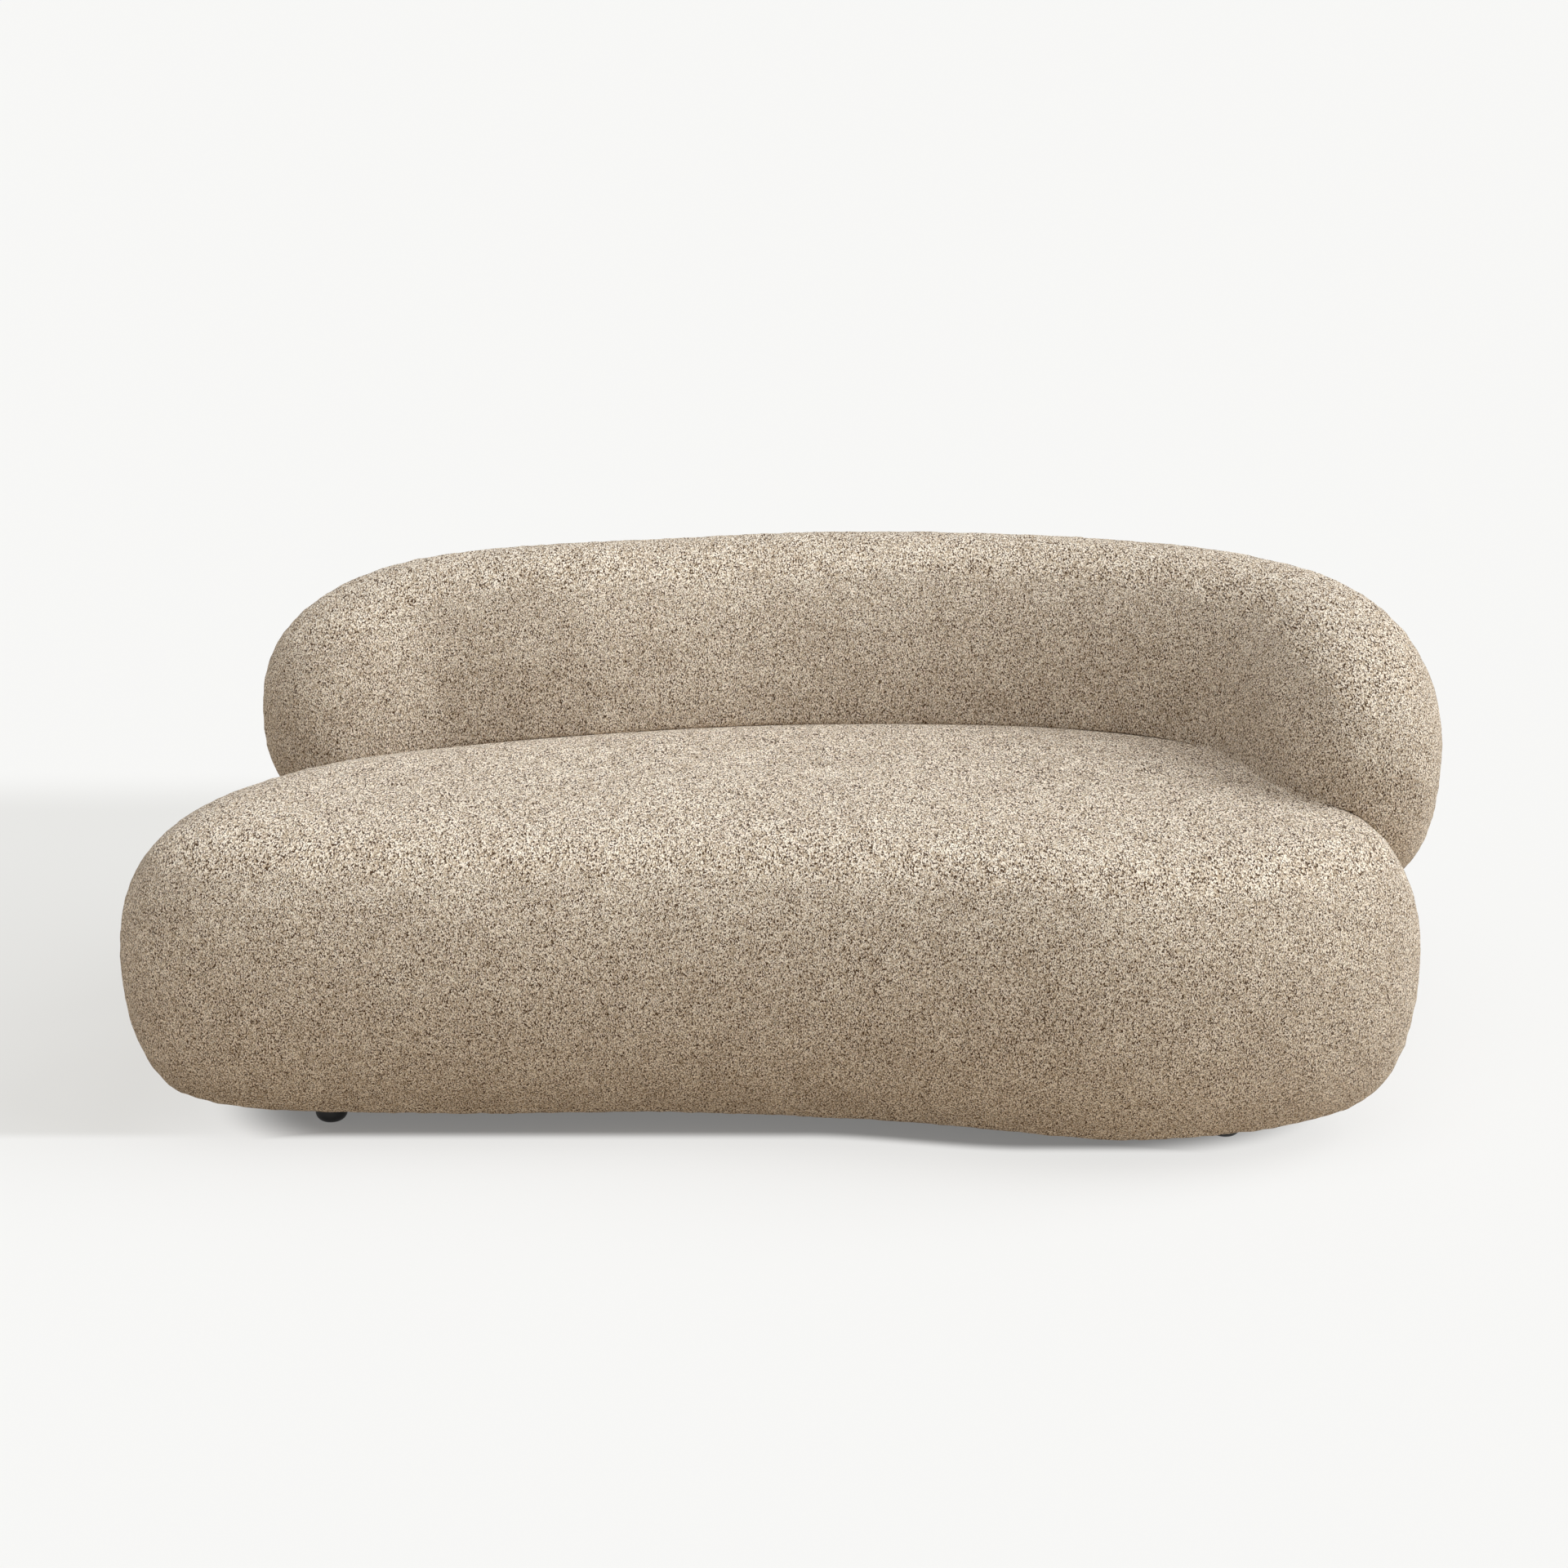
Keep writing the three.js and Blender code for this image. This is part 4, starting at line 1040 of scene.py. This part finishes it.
def make_floor():
    mesh = bpy.data.meshes.new("floor")
    s = FLOOR_HALF_SIZE
    mesh.from_pydata([(-s, -s, 0), (s, -s, 0), (s, s, 0), (-s, s, 0)], [], [(0, 1, 2, 3)])
    floor = bpy.data.objects.new("floor", mesh)
    bpy.context.collection.objects.link(floor)
    material, tree, shader, place = new_material("pale_floor", roughness=0.9)
    seen = seen_share(tree)
    colour = mix_colours(tree, seen, FLOOR_COLOUR, FLOOR_SEEN_COLOUR)
    tree.links.new(colour, shader.inputs["Base Color"])
    shader.inputs["Specular IOR Level"].default_value = 0.0
    glow = tree.nodes.new("ShaderNodeEmission")
    mix = tree.nodes.new("ShaderNodeMixShader")
    around, beside = floor_masks(tree, place)
    # The glow's colour paints the faint shadow at the left.
    glow_colour = mix_colours(tree, beside, BACKGROUND, LEFT_SHADE_COLOUR)
    tree.links.new(glow_colour, glow.inputs["Color"])
    glow_share = math_node(tree, "MULTIPLY_ADD", around, OPEN_GLOW - UNDER_GLOW, UNDER_GLOW)
    tree.links.new(math_node(tree, "MULTIPLY", seen, glow_share), mix.inputs["Fac"])
    tree.links.new(shader.outputs[0], mix.inputs[1])
    tree.links.new(glow.outputs[0], mix.inputs[2])
    tree.links.new(mix.outputs[0], tree.nodes["Material Output"].inputs["Surface"])
    mesh.materials.append(material)
    floor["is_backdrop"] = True


make_floor()

# %% World and lamps
WORLD_STRENGTH = 0.33
WORLD_COLOUR = (1, 0.925, 0.835, 1)
# Each lamp: direction towards it as degrees to the right of the front and above the floor,
# how wide it looks in degrees, and how much light falls on a surface that faces it.
KEY_LAMP = (88, 37, 50, 0.92)
FRONT_LAMP = (0, 72, 50, 0.31)
LEFT_LAMP = (-42, 48, 50, 0.12)
LAMP_COLOUR = (0.925, 1.0, 1.06)
LAMP_DISTANCE = 5.0


def make_world():
    """Warm light from all round. The camera, mirrors and glass see the pale background."""
    world = bpy.data.worlds.new("studio")
    bpy.context.scene.world = world
    world.use_nodes = True
    tree = world.node_tree
    tree.nodes.clear()
    out = tree.nodes.new("ShaderNodeOutputWorld")
    lit = tree.nodes.new("ShaderNodeBackground")
    lit.inputs["Color"].default_value = WORLD_COLOUR
    lit.inputs["Strength"].default_value = WORLD_STRENGTH
    seen = tree.nodes.new("ShaderNodeBackground")
    seen.inputs["Color"].default_value = BACKGROUND
    mix = tree.nodes.new("ShaderNodeMixShader")
    tree.links.new(seen_share(tree), mix.inputs["Fac"])
    tree.links.new(lit.outputs[0], mix.inputs[1])
    tree.links.new(seen.outputs[0], mix.inputs[2])
    tree.links.new(mix.outputs[0], out.inputs["Surface"])


def make_lamp(name, right, above, width, light):
    turn, lift = math.radians(right), math.radians(above)
    towards = Vector((math.sin(turn) * math.cos(lift), -math.cos(turn) * math.cos(lift),
                      math.sin(lift)))
    data = bpy.data.lights.new(name, "SUN")
    data.energy = light * math.pi
    data.color = LAMP_COLOUR
    data.angle = math.radians(width)
    lamp = bpy.data.objects.new(name, data)
    lamp.rotation_euler = towards.to_track_quat("Z", "Y").to_euler()
    lamp.location = towards * LAMP_DISTANCE
    bpy.context.collection.objects.link(lamp)


make_world()
make_lamp("key_lamp", *KEY_LAMP)
make_lamp("front_lamp", *FRONT_LAMP)
make_lamp("left_lamp", *LEFT_LAMP)

# %% [markdown]
# ## Camera
# The camera stands a little above standing eye height, straight in front, four metres from
# the seat's middle, and looks down on it by 17 degrees.

# %% Camera
CAMERA_SIDE = -0.0075
CAMERA_DISTANCE = 4.299
CAMERA_HEIGHT = 1.765
CAMERA_DOWN = math.radians(17.35)
LENS = 69.375
SENSOR = 36.0
FAR_ENOUGH = 300.0


def make_camera():
    data = bpy.data.cameras.new("camera")
    data.lens = LENS
    data.sensor_width = SENSOR
    data.clip_end = FAR_ENOUGH
    camera = bpy.data.objects.new("camera", data)
    camera.location = (CAMERA_SIDE, -CAMERA_DISTANCE, CAMERA_HEIGHT)
    camera.rotation_euler = (math.pi / 2 - CAMERA_DOWN, 0, 0)
    bpy.context.collection.objects.link(camera)
    bpy.context.scene.camera = camera


make_camera()
bpy.context.scene.view_settings.view_transform = "Standard"

# %% [markdown]
# ## Finish
# The dressed sofa's size is printed. The dressed sofa has to stay as large as the imported
# one.

# %% Sizes and finish
low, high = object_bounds()
print("dressed sofa, metres:", [round(v, 4) for v in high - low])
